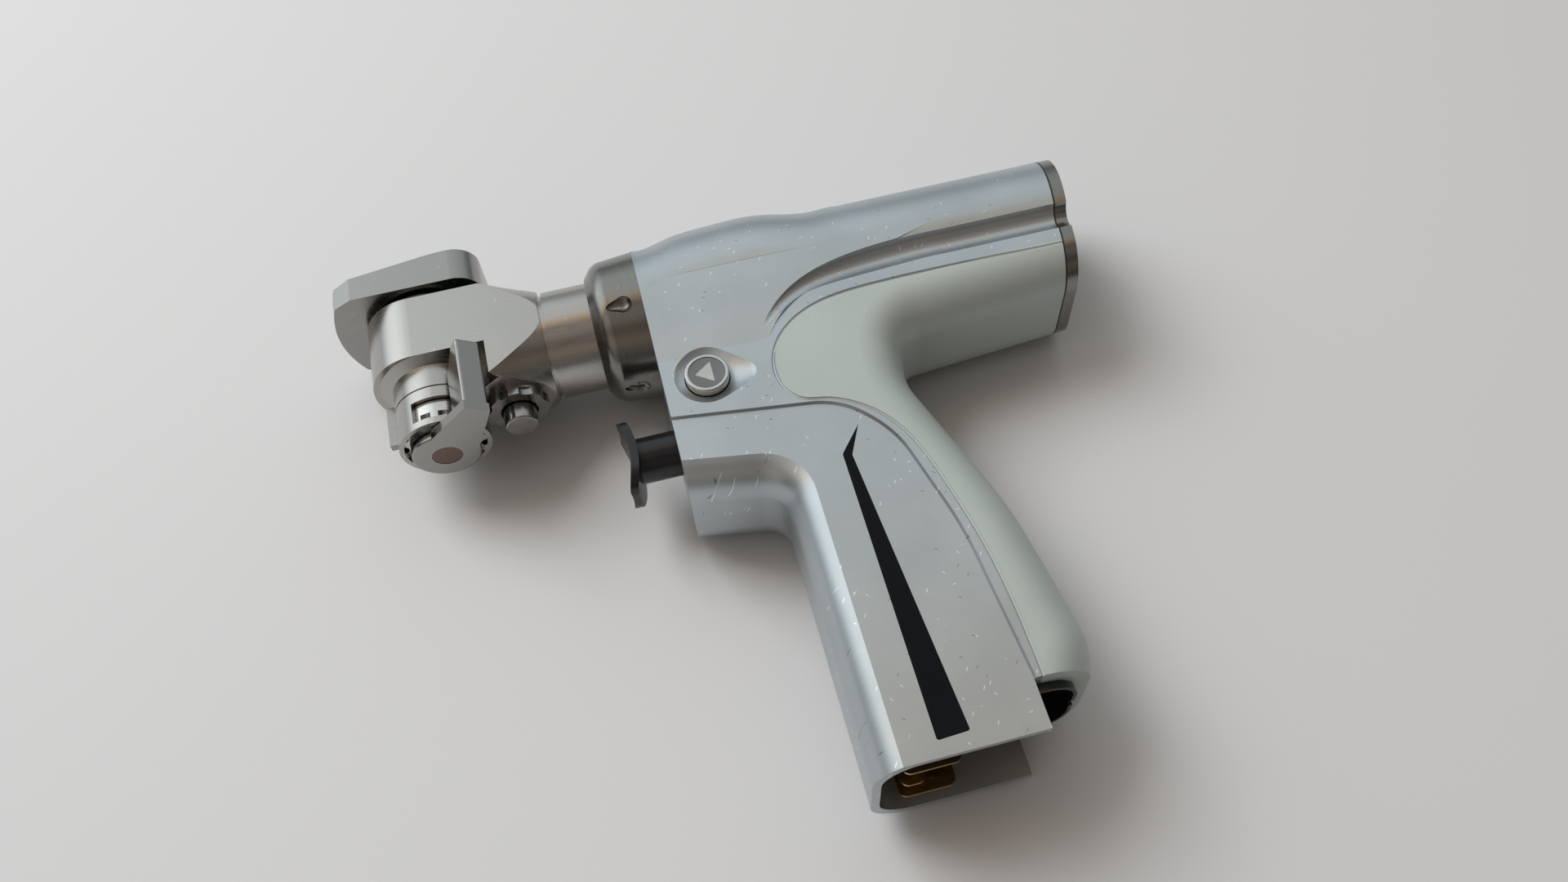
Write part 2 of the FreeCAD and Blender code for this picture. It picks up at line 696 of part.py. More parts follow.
def stripe_form():
    """Tapered stripe with a hooked tip, let into the right side panel of the grip."""
    surface = PANEL_STEP - BODY_HALF_WIDTH
    return side_pad(STRIPE_OUTLINE, surface, surface + STRIPE_THICKNESS)


def rear_cap(blank):
    cap = blank.common(rear_slab(GASKET_THICKNESS, CAP_THICKNESS - GASKET_THICKNESS))
    spigot = disc_x(0, FAR, MOTOR_BORE_RADIUS - RUN_FIT)
    spigot = spigot.common(rear_slab(-CAP_SPIGOT_LENGTH, CAP_SPIGOT_LENGTH + GASKET_THICKNESS))
    return fuse_all([cap, spigot])


def cap_gasket(blank):
    gasket = blank.common(rear_slab(0, GASKET_THICKNESS))
    return gasket.cut(disc_x(0, FAR, MOTOR_BORE_RADIUS))


def socket_liner():
    ends = [LINER_BOTTOM_Y, SOCKET_TOP_Y]
    outer = Part.makeLoft([socket_section(y, RUN_FIT) for y in ends], True, True)
    inner_ends = [LINER_BOTTOM_Y - LINER_WALL, SOCKET_TOP_Y - LINER_WALL]
    inner = Part.makeLoft([socket_section(y, LINER_WALL) for y in inner_ends], True, True)
    return outer.cut(inner).cut(catch_notch())


def contact_block():
    top = SOCKET_TOP_Y - LINER_WALL
    block = box(BLOCK_FRONT_X, BLOCK_REAR_X, BLOCK_BOTTOM_Y, top, -BLOCK_HALF_WIDTH, BLOCK_HALF_WIDTH)
    upright = [edge for edge in block.Edges if edge.BoundBox.YLength > TINY]
    return block.makeFillet(BLOCK_CORNER, upright)


def terminal(length, z):
    """Flat contact blade with rounded lower corners."""
    front = TERMINAL_FRONT_X
    rear = front + length
    outline = [
        (front, BLOCK_BOTTOM_Y, 0), (front, TERMINAL_TIP_Y, TERMINAL_CORNER),
        (rear, TERMINAL_TIP_Y, TERMINAL_CORNER), (rear, BLOCK_BOTTOM_Y, 0),
    ]
    return side_pad(outline, z - TERMINAL_THICKNESS / 2, z + TERMINAL_THICKNESS / 2)


def motor_can():
    outer = MOTOR_BORE_RADIUS - RUN_FIT
    return ring_x(CAN_FRONT_X, CAN_LENGTH, outer, outer - CAN_WALL)


def motor_windings():
    """Winding sleeve with lengthwise slots open to the rotor."""
    outer = MOTOR_BORE_RADIUS - RUN_FIT - CAN_WALL
    inner = outer - WINDING_WALL
    rear = CAN_FRONT_X + CAN_LENGTH
    ring = ring_x(CAN_FRONT_X + WINDING_INSET, CAN_LENGTH - 2 * WINDING_INSET, outer, inner)
    for index in range(WINDING_SLOTS):
        half = WINDING_SLOT_WIDTH / 2
        slot = box(CAN_FRONT_X, rear, inner - half, outer - WINDING_RIM, -half, half)
        slot.rotate(Vector(0, 0, 0), AXIS_X, 360 / WINDING_SLOTS * index)
        ring = ring.cut(slot)
    return ring


def end_plate(start_x, bearing_x):
    plate = disc_x(start_x, END_PLATE_THICKNESS, MOTOR_BORE_RADIUS - RUN_FIT)
    plate = plate.cut(disc_x(bearing_x, BEARING_WIDTH, BEARING_RADIUS + RUN_FIT / 2))
    return plate.cut(disc_x(start_x, END_PLATE_THICKNESS, SHAFT_RADIUS + SHAFT_CLEARANCE))


def shaft_bearing(start_x):
    return ring_x(start_x, BEARING_WIDTH, BEARING_RADIUS, SHAFT_RADIUS + RUN_FIT / 2)


def controller_board(start_x):
    board = disc_x(start_x, CONTROLLER_THICKNESS, MOTOR_BORE_RADIUS - RUN_FIT)
    return board.cut(disc_x(start_x, CONTROLLER_THICKNESS, SHAFT_RADIUS + SHAFT_CLEARANCE))


def rotor_magnet():
    return ring_x(CAN_FRONT_X + ROTOR_INSET, CAN_LENGTH - 2 * ROTOR_INSET, ROTOR_RADIUS, SHAFT_RADIUS)


def motor_shaft(front_x, rear_x):
    return disc_x(front_x, rear_x - front_x, SHAFT_RADIUS)


def crank_shaft(rear_x):
    """Shaft through the neck with an off-centre pin at its front end."""
    shoulder_x = CRANK_PIN_FRONT_X + CRANK_PIN_LENGTH
    shaft = disc_x(shoulder_x, rear_x - shoulder_x, SHAFT_RADIUS)
    pin = disc_x(CRANK_PIN_FRONT_X, CRANK_PIN_LENGTH, CRANK_PIN_RADIUS, ECCENTRIC)
    return shaft.fuse(pin)


def collar():
    rear = Vector(0, COLLAR_REAR_RADIUS, 0)
    shoulder = Vector(COLLAR_SHOULDER_X, COLLAR_SHOULDER_RADIUS, 0)
    front = Vector(COLLAR_LIP_LENGTH - COLLAR_LENGTH, COLLAR_FRONT_RADIUS, 0)
    middle = (shoulder + front) / 2 + Vector(-COLLAR_BOW, COLLAR_BOW, 0)
    lip = Vector(-COLLAR_LENGTH, COLLAR_LIP_RADIUS, 0)
    inner_front = Vector(-COLLAR_LENGTH, NECK_RADIUS + RUN_FIT, 0)
    inner_rear = Vector(0, NECK_RADIUS + RUN_FIT, 0)
    outer = Part.Arc(shoulder, middle, front).toShape()
    lines = Part.makePolygon([front, lip, inner_front, inner_rear, rear, shoulder])
    body = Part.Face(Part.Wire([outer] + lines.Edges)).revolve(Vector(0, 0, 0), AXIS_X, 360)
    for index in range(DIMPLE_COUNT):
        body = body.cut(dimple_tool(360 / DIMPLE_COUNT * index - 90))
    return body


def dimple_tool(angle):
    """Finger dimple: round and deep at the rear, running out to a point at the front."""
    centre = Vector(DIMPLE_X, 0, COLLAR_REAR_RADIUS + DIMPLE_LIFT)
    forward = Vector(-DIMPLE_LENGTH, 0, -DIMPLE_DROP)
    ball = Part.makeSphere(DIMPLE_RADIUS, centre)
    cone = Part.makeCone(DIMPLE_RADIUS, DIMPLE_TIP_RADIUS, forward.Length, centre, forward)
    tool = ball.fuse(cone)
    tool.rotate(Vector(0, 0, 0), AXIS_X, -angle)
    return tool


def trigger():
    """Saddle-shaped finger pad on a round stem."""
    middle_y = (PAD_TOP_Y + PAD_BOTTOM_Y) / 2
    tip_x = PAD_BACK_X - PAD_TIP_FORWARD

    def bow(offset):
        return Part.Arc(
            Vector(tip_x + offset, PAD_TOP_Y, -PAD_HALF_WIDTH),
            Vector(PAD_BACK_X + offset, middle_y, -PAD_HALF_WIDTH),
            Vector(tip_x + offset, PAD_BOTTOM_Y, -PAD_HALF_WIDTH),
        ).toShape()

    back = bow(0)
    front = bow(-PAD_THICKNESS)
    top = Part.LineSegment(back.Vertexes[0].Point, front.Vertexes[0].Point).toShape()
    bottom = Part.LineSegment(back.Vertexes[-1].Point, front.Vertexes[-1].Point).toShape()
    profile = Part.Face(Part.Wire(Part.__sortEdges__([back, top, front, bottom])))
    pad = profile.extrude(Vector(0, 0, 2 * PAD_HALF_WIDTH))
    half = PAD_HALF_WIDTH
    top_corner, low_corner = PAD_CORNERS
    plan = [
        (PAD_TOP_Y, -half, top_corner), (PAD_TOP_Y, half, top_corner),
        (PAD_BOTTOM_Y, half, low_corner), (PAD_BOTTOM_Y, -half, low_corner),
    ]
    window = Part.Face(rounded_wire(plan, lambda y, z: Vector(-FAR, y, z))).extrude(Vector(FAR, 0, 0))
    saddle_x = tip_x - PAD_THICKNESS + PAD_SADDLE_BITE - PAD_SADDLE_RADIUS
    saddle = disc_y(-FAR, 2 * FAR, PAD_SADDLE_RADIUS, saddle_x)
    stem_x = PAD_BACK_X - PAD_THICKNESS / 4
    stem = disc_x(stem_x, TRIGGER_STEM_END_X - stem_x, TRIGGER_RADIUS, TRIGGER_Y)
    return fuse_all([pad.common(window).cut(saddle), stem])


def trigger_bush():
    return ring_x(0, BUSH_LENGTH, BUSH_RADIUS, TRIGGER_RADIUS + RUN_FIT, TRIGGER_Y)


def trigger_magnet():
    return disc_x(TRIGGER_STEM_END_X, TRIGGER_MAGNET_LENGTH, TRIGGER_MAGNET_RADIUS, TRIGGER_Y)


def helix_spring(radius, wire_radius, pitch, length):
    helix = Part.makeHelix(pitch, length, radius)
    start = Part.Circle(Vector(radius, 0, 0), AXIS_Y, wire_radius)
    return Part.Wire(helix).makePipeShell([Part.Wire(start.toShape())], True, True)


def trigger_spring():
    """Return spring, drawn at its closed length against the end of the bore."""
    space = TRIGGER_BORE_END_X - TRIGGER_STEM_END_X - TRIGGER_TRAVEL
    closed = space - 2 * TRIGGER_WIRE_RADIUS - TRIGGER_SPRING_PLAY
    spring = helix_spring(TRIGGER_SPRING_RADIUS, TRIGGER_WIRE_RADIUS, TRIGGER_SPRING_PITCH, closed)
    spring.rotate(Vector(0, 0, 0), AXIS_Y, 90)
    spring.translate(Vector(TRIGGER_BORE_END_X - closed - TRIGGER_WIRE_RADIUS, TRIGGER_Y, 0))
    return spring


def sensor_board():
    return disc_x(TRIGGER_BORE_END_X - SENSOR_THICKNESS, SENSOR_THICKNESS, SENSOR_RADIUS, TRIGGER_Y)


def button_ring():
    ring = disc_z(BUTTON_FACE_Z - BUTTON_HEIGHT, BUTTON_HEIGHT, BUTTON_RADIUS, BUTTON_X, BUTTON_Y)
    top = [edge for edge in ring.Edges if edge.BoundBox.ZMin > BUTTON_FACE_Z - RUN_FIT]
    ring = ring.makeFillet(BUTTON_RIM_RADIUS, top)
    well_radius = BUTTON_RADIUS - BUTTON_RING_WALL
    return ring.cut(disc_z(BUTTON_FACE_Z - BUTTON_WELL, FAR, well_radius, BUTTON_X, BUTTON_Y))


def button_face():
    radius = BUTTON_RADIUS - BUTTON_RING_WALL - RUN_FIT
    face = disc_z(BUTTON_FACE_Z - BUTTON_WELL, BUTTON_FACE_THICKNESS, radius, BUTTON_X, BUTTON_Y)
    return face.cut(triangle_form())


def triangle_form():
    """Inlaid arrow that points to the blade end."""
    rear_x = BUTTON_X + TRIANGLE_REAR
    outline = [
        (BUTTON_X - TRIANGLE_FRONT, BUTTON_Y, TRIANGLE_CORNER),
        (rear_x, BUTTON_Y - TRIANGLE_HALF_BASE, TRIANGLE_CORNER),
        (rear_x, BUTTON_Y + TRIANGLE_HALF_BASE, TRIANGLE_CORNER),
    ]
    top = BUTTON_FACE_Z - TRIANGLE_SINK
    return side_pad(outline, top - TRIANGLE_THICKNESS, top)


def button_spring():
    bottom = BUTTON_FACE_Z - BUTTON_HEIGHT - BUTTON_TRAVEL - BUTTON_SPRING_SPACE
    length = BUTTON_TRAVEL + BUTTON_SPRING_SPACE - 2 * BUTTON_WIRE_RADIUS
    spring = helix_spring(BUTTON_SPRING_RADIUS, BUTTON_WIRE_RADIUS, BUTTON_SPRING_PITCH, length)
    spring.translate(Vector(BUTTON_X, BUTTON_Y, bottom + BUTTON_WIRE_RADIUS))
    return spring


# Head

def ogive():
    """Flare from the neck to the head block."""
    points = [Vector(NECK_FRONT_X - ahead, NECK_RADIUS + out, 0) for ahead, out in FLARE_STEPS]
    flare = Part.BSplineCurve()
    flare.interpolate(points)
    first = Vector(points[0].x, 0, 0)
    last = Vector(points[-1].x, 0, 0)
    lines = Part.makePolygon([points[-1], last, first, points[0]])
    face = Part.Face(Part.Wire([flare.toShape()] + lines.Edges))
    return face.revolve(Vector(0, 0, 0), AXIS_X, 360)


def relief_tool():
    """Room for the lever to swing round under the head."""
    depth = HEAD_BOTTOM_Y - HUB_BOTTOM_Y + RELIEF_OVERRUN
    low = HEAD_BOTTOM_Y - depth
    rise = RELIEF_REACH * math.tan(RELIEF_WEDGE)
    start = Vector(HEAD_X, low, 0)
    wedge = Part.makePolygon([
        start, Vector(HEAD_X + RELIEF_REACH, low, rise), Vector(HEAD_X + RELIEF_REACH, low, -rise), start,
    ])
    return disc_y(low, depth, RELIEF_RADIUS).cut(Part.Face(wedge).extrude(Vector(0, depth, 0)))


def is_head_front_edge(edge):
    """True for the upright edges between the head's round end and its flat sides."""
    extent = edge.BoundBox
    upright = max(extent.XLength, extent.ZLength) < RUN_FIT
    return upright and extent.XMax < HEAD_X and abs(extent.ZMax) > HEAD_HALF_WIDTH - RUN_FIT


def head_block():
    round_end = disc_y(HEAD_BOTTOM_Y, HEAD_TOP_Y - HEAD_BOTTOM_Y, HEAD_RADIUS)
    flare = ogive().common(box(HEAD_X, NECK_FRONT_X, BELLY_Y, HEAD_TOP_Y, -FAR, FAR))
    block = round_end.fuse(flare).common(box(-FAR, 0, -FAR, FAR, -HEAD_HALF_WIDTH, HEAD_HALF_WIDTH))
    edges = [edge for edge in block.Edges if is_head_front_edge(edge)]
    return block.makeFillet(HEAD_EDGE_RADIUS, edges).cut(relief_tool())


def stack_form():
    """Turned boss and cup under the head, with a window that shows the lock ring."""
    boss = disc_y(STACK_STEP_Y, HEAD_BOTTOM_Y - STACK_STEP_Y + 1, STACK_RADIUS)
    flange = Part.makeCone(
        STACK_RADIUS, STACK_RADIUS + 2 * STACK_SHOULDER, STACK_SHOULDER,
        Vector(HEAD_X, HEAD_BOTTOM_Y - STACK_SHOULDER, 0), AXIS_Y)
    groove_floor = STACK_RADIUS - STACK_GROOVE_DEPTH
    groove = ring_y(STACK_GROOVE_Y, STACK_GROOVE_WIDTH, STACK_RADIUS + STACK_SHOULDER, groove_floor)
    cup = ring_y(CUP_BOTTOM_Y, STACK_STEP_Y - CUP_BOTTOM_Y, STACK_RADIUS, STACK_RADIUS - CUP_WALL)
    cup = cup.cut(window_tool())
    return boss.fuse(flange).cut(groove).fuse(cup)


def window_tool():
    reach = 2 * STACK_RADIUS
    low = CUP_BOTTOM_Y + CUP_RIM_HEIGHT
    sector = [Vector(HEAD_X, low, 0)]
    steps = 4
    for index in range(steps + 1):
        turn = WINDOW_START + (WINDOW_END - WINDOW_START) * index / steps
        sector.append(Vector(HEAD_X + reach * math.cos(turn), low, reach * math.sin(turn)))
    face = Part.Face(Part.makePolygon(sector + [sector[0]]))
    return face.extrude(Vector(0, STACK_STEP_Y - low, 0))


def head_cavity():
    """Bores for the drive shaft and the crank, and the space where the fork swings."""
    bearing_bore = disc_y(STACK_STEP_Y + DRIVE_BEARING_LEDGE, FAR, DRIVE_BEARING_RADIUS + RUN_FIT / 2)
    half = fork_inner() + FORK_WALL + fork_swing() + FORK_ROOM
    tall = FORK_HEIGHT / 2 + FORK_ROOM
    fork_room = box(HEAD_X, CRANK_PIN_FRONT_X + CRANK_PIN_LENGTH + FORK_ROOM, -tall, tall, -half, half)
    crank_bore = disc_x(CRANK_PIN_FRONT_X, FAR, SHAFT_RADIUS + SHAFT_CLEARANCE)
    drawbar_bore = disc_y(-FAR / 2, FAR, DRAWBAR_RADIUS + SEAT_GAP)
    return bearing_bore.fuse([fork_room, crank_bore, drawbar_bore])


def head_body():
    """Head block, neck, lower stack and the boss of the release plunger."""
    neck = disc_x(NECK_FRONT_X, -NECK_FRONT_X, NECK_RADIUS)
    outside, floor = NECK_RADIUS + GROOVE_DEPTH, NECK_RADIUS - GROOVE_DEPTH
    neck = neck.cut(ring_x(NECK_FRONT_X, GROOVE_WIDTH, outside, floor))
    boss = disc_y(BELLY_Y, PLUNGER_BOSS_HEIGHT, PLUNGER_BOSS_RADIUS, PLUNGER_X)
    body = fuse_all([head_block(), stack_form(), neck, boss])
    body = body.cut(head_cavity())
    body = body.cut(disc_x(NECK_BEARING_X, FAR, BEARING_RADIUS + RUN_FIT / 2))
    plunger_depth = PLUNGER_TOP_Y + PLUNGER_TRAVEL + PLUNGER_END_GAP - BELLY_Y
    return body.cut(disc_y(BELLY_Y, plunger_depth, PLUNGER_RADIUS + RUN_FIT, PLUNGER_X))


def neck_bearing():
    return shaft_bearing(NECK_BEARING_X)


def side_key():
    inner = STACK_RADIUS + KEY_GAP
    rear = HEAD_X - inner
    half = KEY_WIDTH / 2
    return box(rear - KEY_DEPTH, rear, KEY_BOTTOM_Y, KEY_TOP_Y, -half, half)


def drive_bearing(start_y):
    return ring_y(start_y, DRIVE_BEARING_WIDTH, DRIVE_BEARING_RADIUS, DRIVE_RADIUS + RUN_FIT / 2)


def fork_reach():
    return CRANK_PIN_FRONT_X + CRANK_PIN_LENGTH - FORK_SETBACK - HEAD_X


def fork_swing():
    """Sideways travel of the fork's open end when the blade drive is at its limit."""
    return fork_reach() * math.tan(BLADE_SWING)


def fork_inner():
    """Half width of the fork's slot, clear of the crank pin wherever both stand."""
    return CRANK_PIN_RADIUS + ECCENTRIC + fork_swing() + FORK_OPEN_FIT


def drive_shaft():
    """Hollow shaft with a fork that the crank pin rocks from side to side."""
    length = HEAD_TOP_Y + SEAT_GAP - DRIVE_BOTTOM_Y
    tube = ring_y(DRIVE_BOTTOM_Y, length, DRIVE_RADIUS, DRAWBAR_RADIUS + RUN_FIT)
    inner = fork_inner()
    outer = inner + FORK_WALL
    end = HEAD_X + fork_reach()
    tall = FORK_HEIGHT / 2
    fork = box(HEAD_X + DRIVE_RADIUS - FORK_ROOT, end, -tall, tall, -outer, outer)
    slot = box(CRANK_PIN_FRONT_X - FORK_ROOM, end, -tall, tall, -inner, inner)
    return fuse_all([tube, fork.cut(slot)])


def blade_seat():
    """Lower blade face with locating pins."""
    bottom = HEAD_TOP_Y + SEAT_GAP
    pin_bottom = bottom + SEAT_THICKNESS - SEAT_PIN_SINK
    pin_length = SEAT_PIN_SINK + BLADE_GAP - SEAT_PIN_GAP
    pins = []
    for index in range(SEAT_PIN_COUNT):
        turn = math.pi * (2 * index + 1) / SEAT_PIN_COUNT
        x = HEAD_X + SEAT_PIN_CIRCLE * math.cos(turn)
        z = SEAT_PIN_CIRCLE * math.sin(turn)
        pins.append(disc_y(pin_bottom, pin_length, SEAT_PIN_RADIUS, x, z))
    return fuse_all([ring_y(bottom, SEAT_THICKNESS, SEAT_RADIUS, DRAWBAR_RADIUS + RUN_FIT)] + pins)


def clamp_bottom_y():
    return HEAD_TOP_Y + SEAT_GAP + SEAT_THICKNESS + BLADE_GAP


def clamp_plan():
    """Plan of the clamp: shallow arc in front, straight sides, rounded rear corners."""
    half = CLAMP_HALF_WIDTH
    past_front = CLAMP_FRONT_X - SEAT_GAP
    corners = [
        (past_front, -half, 0), (CLAMP_REAR_X, -half, CLAMP_REAR_CORNER),
        (CLAMP_REAR_X, half, CLAMP_REAR_CORNER), (past_front, half, 0),
    ]
    bottom = clamp_bottom_y()
    straight = Part.Face(rounded_wire(corners, lambda x, z: Vector(x, bottom, z)))
    plate = straight.extrude(Vector(0, CLAMP_REAR_HEIGHT, 0))
    arc_centre = CLAMP_FRONT_X + CLAMP_FRONT_RADIUS
    arc_side = disc_y(bottom, CLAMP_REAR_HEIGHT, CLAMP_FRONT_RADIUS, arc_centre)
    return plate.common(arc_side.fuse(box(arc_centre, 0, 0, FAR, -FAR, FAR)))


def clamp_wedge():
    """Side view of the clamp: low at the front, rising to a flat back."""
    bottom = clamp_bottom_y()
    past_front = CLAMP_FRONT_X - SEAT_GAP
    top = bottom + CLAMP_REAR_HEIGHT
    return side_pad([
        (past_front, bottom + CLAMP_FRONT_HEIGHT, 0),
        (CLAMP_FLAT_X, top, CLAMP_FLAT_BEND),
        (0, top, 0),
        (0, bottom, 0),
        (past_front, bottom, 0),
    ], -FAR, FAR)


def clamp_chamfer():
    """Slanted front corner on the right, between the straight side and the nose."""
    bottom = clamp_bottom_y()
    arc_centre = CLAMP_FRONT_X + CLAMP_FRONT_RADIUS
    corner_x = arc_centre - math.sqrt(CLAMP_FRONT_RADIUS ** 2 - CLAMP_HALF_WIDTH ** 2)
    rear = Vector(corner_x + CLAMP_CHAMFER, bottom, -CLAMP_HALF_WIDTH)
    front = Vector(corner_x - CLAMP_CHAMFER, bottom, CLAMP_CHAMFER - CLAMP_HALF_WIDTH)
    outer = Vector(front.x, bottom, rear.z)
    return Part.Face(Part.makePolygon([rear, front, outer, rear])).extrude(Vector(0, FAR, 0))


def clamp_cap():
    """Wedge-shaped clamp plate with a slit in its blunt rear end."""
    bottom = clamp_bottom_y()
    plate = clamp_plan().common(clamp_wedge()).cut(both_sides(clamp_chamfer()))
    slit_depth, slit_height, slit_width = CLAMP_SLIT
    half = slit_width / 2
    top = bottom + slit_height
    slit = box(CLAMP_REAR_X - slit_depth, 0, bottom, top, CLAMP_SLIT_Z - half, CLAMP_SLIT_Z + half)
    return plate.cut(slit).cut(disc_y(bottom, DRAWBAR_SINK, DRAWBAR_RADIUS + RUN_FIT))


def drawbar():
    low = HUB_BOTTOM_Y + DRAWBAR_END_GAP
    return disc_y(low, clamp_bottom_y() + DRAWBAR_SINK - low, DRAWBAR_RADIUS)


def clamp_lever():
    """Hub with a cam, a flat arm and an upright finger plate."""
    hub = disc_y(HUB_BOTTOM_Y, HUB_THICKNESS, HUB_RADIUS)
    low_rim = [edge for edge in hub.Edges if edge.BoundBox.YMax < HUB_BOTTOM_Y + RUN_FIT]
    hub = hub.makeFillet(HUB_RIM_RADIUS, low_rim)
    cam_base = HUB_BOTTOM_Y + HUB_THICKNESS
    cam_start = Vector(HEAD_X, cam_base, 0)
    cam = Part.makeCone(HUB_RADIUS - CAM_SHOULDER, CAM_RADIUS, CAM_TOP_Y - cam_base, cam_start, AXIS_Y)
    half = LEVER_THICKNESS / 2
    root = HUB_RADIUS - LEVER_ARM_INSET
    arm_plan = [(0, -root, 0), (LEVER_REACH, -half, 0), (LEVER_REACH, half, 0), (0, root, 0)]
    arm_wire = rounded_wire(arm_plan, lambda along, across: Vector(HEAD_X + along, HUB_BOTTOM_Y, across))
    arm_face = Part.Face(arm_wire)
    arm = arm_face.extrude(Vector(0, HUB_THICKNESS, 0))
    plate_side = [
        (LEVER_INNER, HUB_BOTTOM_Y, 0),
        (LEVER_REACH, HUB_BOTTOM_Y, 0),
        (LEVER_REACH, LEVER_TOP_Y, LEVER_EDGE_RADIUS),
        (LEVER_REACH - LEVER_TOP_FLAT, LEVER_TOP_Y, 0),
        (LEVER_INNER, LEVER_TOP_Y - LEVER_SLANT_DROP, 0),
    ]
    plate_face = Part.Face(rounded_wire(plate_side, lambda along, y: Vector(HEAD_X + along, y, -half)))
    plate = plate_face.extrude(Vector(0, 0, LEVER_THICKNESS))
    lever = fuse_all([hub, cam, arm, plate])
    outer_edges = [edge for edge in lever.Edges
                   if abs(edge.CenterOfMass.x - HEAD_X - LEVER_REACH) < TINY
                   and edge.BoundBox.YLength > HUB_THICKNESS + SEAT_GAP]
    lever = lever.makeFillet(LEVER_EDGE_RADIUS, outer_edges)
    lever = lever.cut(disc_y(HUB_BOTTOM_Y, FAR, DRAWBAR_RADIUS + RUN_FIT))
    lever.rotate(Vector(HEAD_X, 0, 0), AXIS_Y, -math.degrees(LEVER_ANGLE))
    return lever


def lock_ring():
    """Castellated ring nut with scallops cut into its lower edge."""
    height = LOCK_RING_TOP_Y - LOCK_RING_BOTTOM_Y
    ring = ring_y(LOCK_RING_BOTTOM_Y, height, LOCK_RING_RADIUS, HUB_RADIUS + RUN_FIT)
    floor_y = LOCK_RING_TOP_Y - LOCK_RING_FLOOR
    ring = ring.fuse(ring_y(floor_y, LOCK_RING_FLOOR, LOCK_RING_RADIUS, DRAWBAR_RADIUS + SEAT_GAP))
    circle = LOCK_RING_RADIUS + SCALLOP_OFFSET
    for index in range(SCALLOP_COUNT):
        turn = 2 * math.pi * index / SCALLOP_COUNT
        x = HEAD_X + circle * math.cos(turn)
        z = circle * math.sin(turn)
        ring = ring.cut(disc_y(LOCK_RING_BOTTOM_Y, SCALLOP_HEIGHT, SCALLOP_RADIUS, x, z))
    return ring


def plunger():
    pin = disc_y(PLUNGER_TIP_Y, PLUNGER_TOP_Y - PLUNGER_TIP_Y, PLUNGER_RADIUS, PLUNGER_X)
    low_rim = [edge for edge in pin.Edges if edge.BoundBox.YMax < PLUNGER_TIP_Y + RUN_FIT]
    return pin.makeFillet(PLUNGER_RIM_RADIUS, low_rim)


def plunger_nut():
    """Lobed ring nut that holds the plunger."""
    low = BELLY_Y - NUT_THICKNESS
    nut = ring_y(low, NUT_THICKNESS, NUT_RADIUS, NUT_BORE_RADIUS, PLUNGER_X)
    circle = NUT_RADIUS + NUT_FLUTE_RADIUS - NUT_FLUTE_DEPTH
    for index in range(NUT_LOBES):
        turn = math.pi * (2 * index + 1) / NUT_LOBES
        x = PLUNGER_X + circle * math.cos(turn)
        nut = nut.cut(disc_y(low, NUT_THICKNESS - NUT_WEB, NUT_FLUTE_RADIUS, x, circle * math.sin(turn)))
    return nut


def build_pieces():
    rear_plate_x = CAN_FRONT_X + CAN_LENGTH
    front_plate_x = CAN_FRONT_X - END_PLATE_THICKNESS
    board_x = rear_plate_x + END_PLATE_THICKNESS
    upper_bearing_y = HEAD_TOP_Y - DRIVE_BEARING_COVER - DRIVE_BEARING_WIDTH
    lower_bearing_y = STACK_STEP_Y + DRIVE_BEARING_LEDGE
    blank = body_blank()
    right_stripe, left_stripe = both_sides(stripe_form())
    pieces = {
        "housing": housing(blank),
        "rear_cap": rear_cap(blank),
        "cap_gasket": cap_gasket(blank),
        "stripe_right": right_stripe,
        "stripe_left": left_stripe,
        "socket_liner": socket_liner(),
        "contact_block": contact_block(),
        "terminal_left": terminal(LONG_TERMINAL, TERMINAL_PITCH),
        "terminal_middle": terminal(SHORT_TERMINAL, 0),
        "terminal_right": terminal(LONG_TERMINAL, -TERMINAL_PITCH),
        "motor_can": motor_can(),
        "motor_windings": motor_windings(),
        "motor_plate_front": end_plate(front_plate_x, front_plate_x),
        "motor_plate_rear": end_plate(rear_plate_x, rear_plate_x + END_PLATE_THICKNESS - BEARING_WIDTH),
        "bearing_front": shaft_bearing(front_plate_x),
        "bearing_rear": shaft_bearing(rear_plate_x + END_PLATE_THICKNESS - BEARING_WIDTH),
        "controller_board": controller_board(board_x),
        "rotor_magnet": rotor_magnet(),
        "motor_shaft": motor_shaft(SHAFT_JOIN_X, board_x),
        "crank_shaft": crank_shaft(SHAFT_JOIN_X),
        "collar": collar(),
        "trigger": trigger(),
        "trigger_bush": trigger_bush(),
        "trigger_magnet": trigger_magnet(),
        "trigger_spring": trigger_spring(),
        "sensor_board": sensor_board(),
        "button_ring": button_ring(),
        "button_face": button_face(),
        "button_arrow": triangle_form(),
        "button_spring": button_spring(),
        "head_body": head_body(),
        "neck_bearing": neck_bearing(),
        "side_key": side_key(),
        "drive_bearing_upper": drive_bearing(upper_bearing_y),
        "drive_bearing_lower": drive_bearing(lower_bearing_y),
        "lock_ring": lock_ring(),
        "plunger_nut": plunger_nut(),
        "plunger": plunger(),
        "drive_shaft": drive_shaft(),
        "blade_seat": blade_seat(),
        "clamp_cap": clamp_cap(),
        "drawbar": drawbar(),
        "clamp_lever": clamp_lever(),
    }
    return pieces


def bottom_centre(pieces):
    whole = Part.makeCompound(list(pieces.values())).optimalBoundingBox()
    return Vector((whole.XMin + whole.XMax) / 2, (whole.YMin + whole.YMax) / 2, whole.ZMin)


def main():
    os.makedirs("parts", exist_ok=True)
    pieces = build_pieces()
    origin = bottom_centre(pieces)
    for name, shape in pieces.items():
        shape.translate(origin.negative())
        shape.exportStep("parts/" + name + ".step")


main()
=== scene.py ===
import json
import math

import bpy
from mathutils import Matrix, Vector


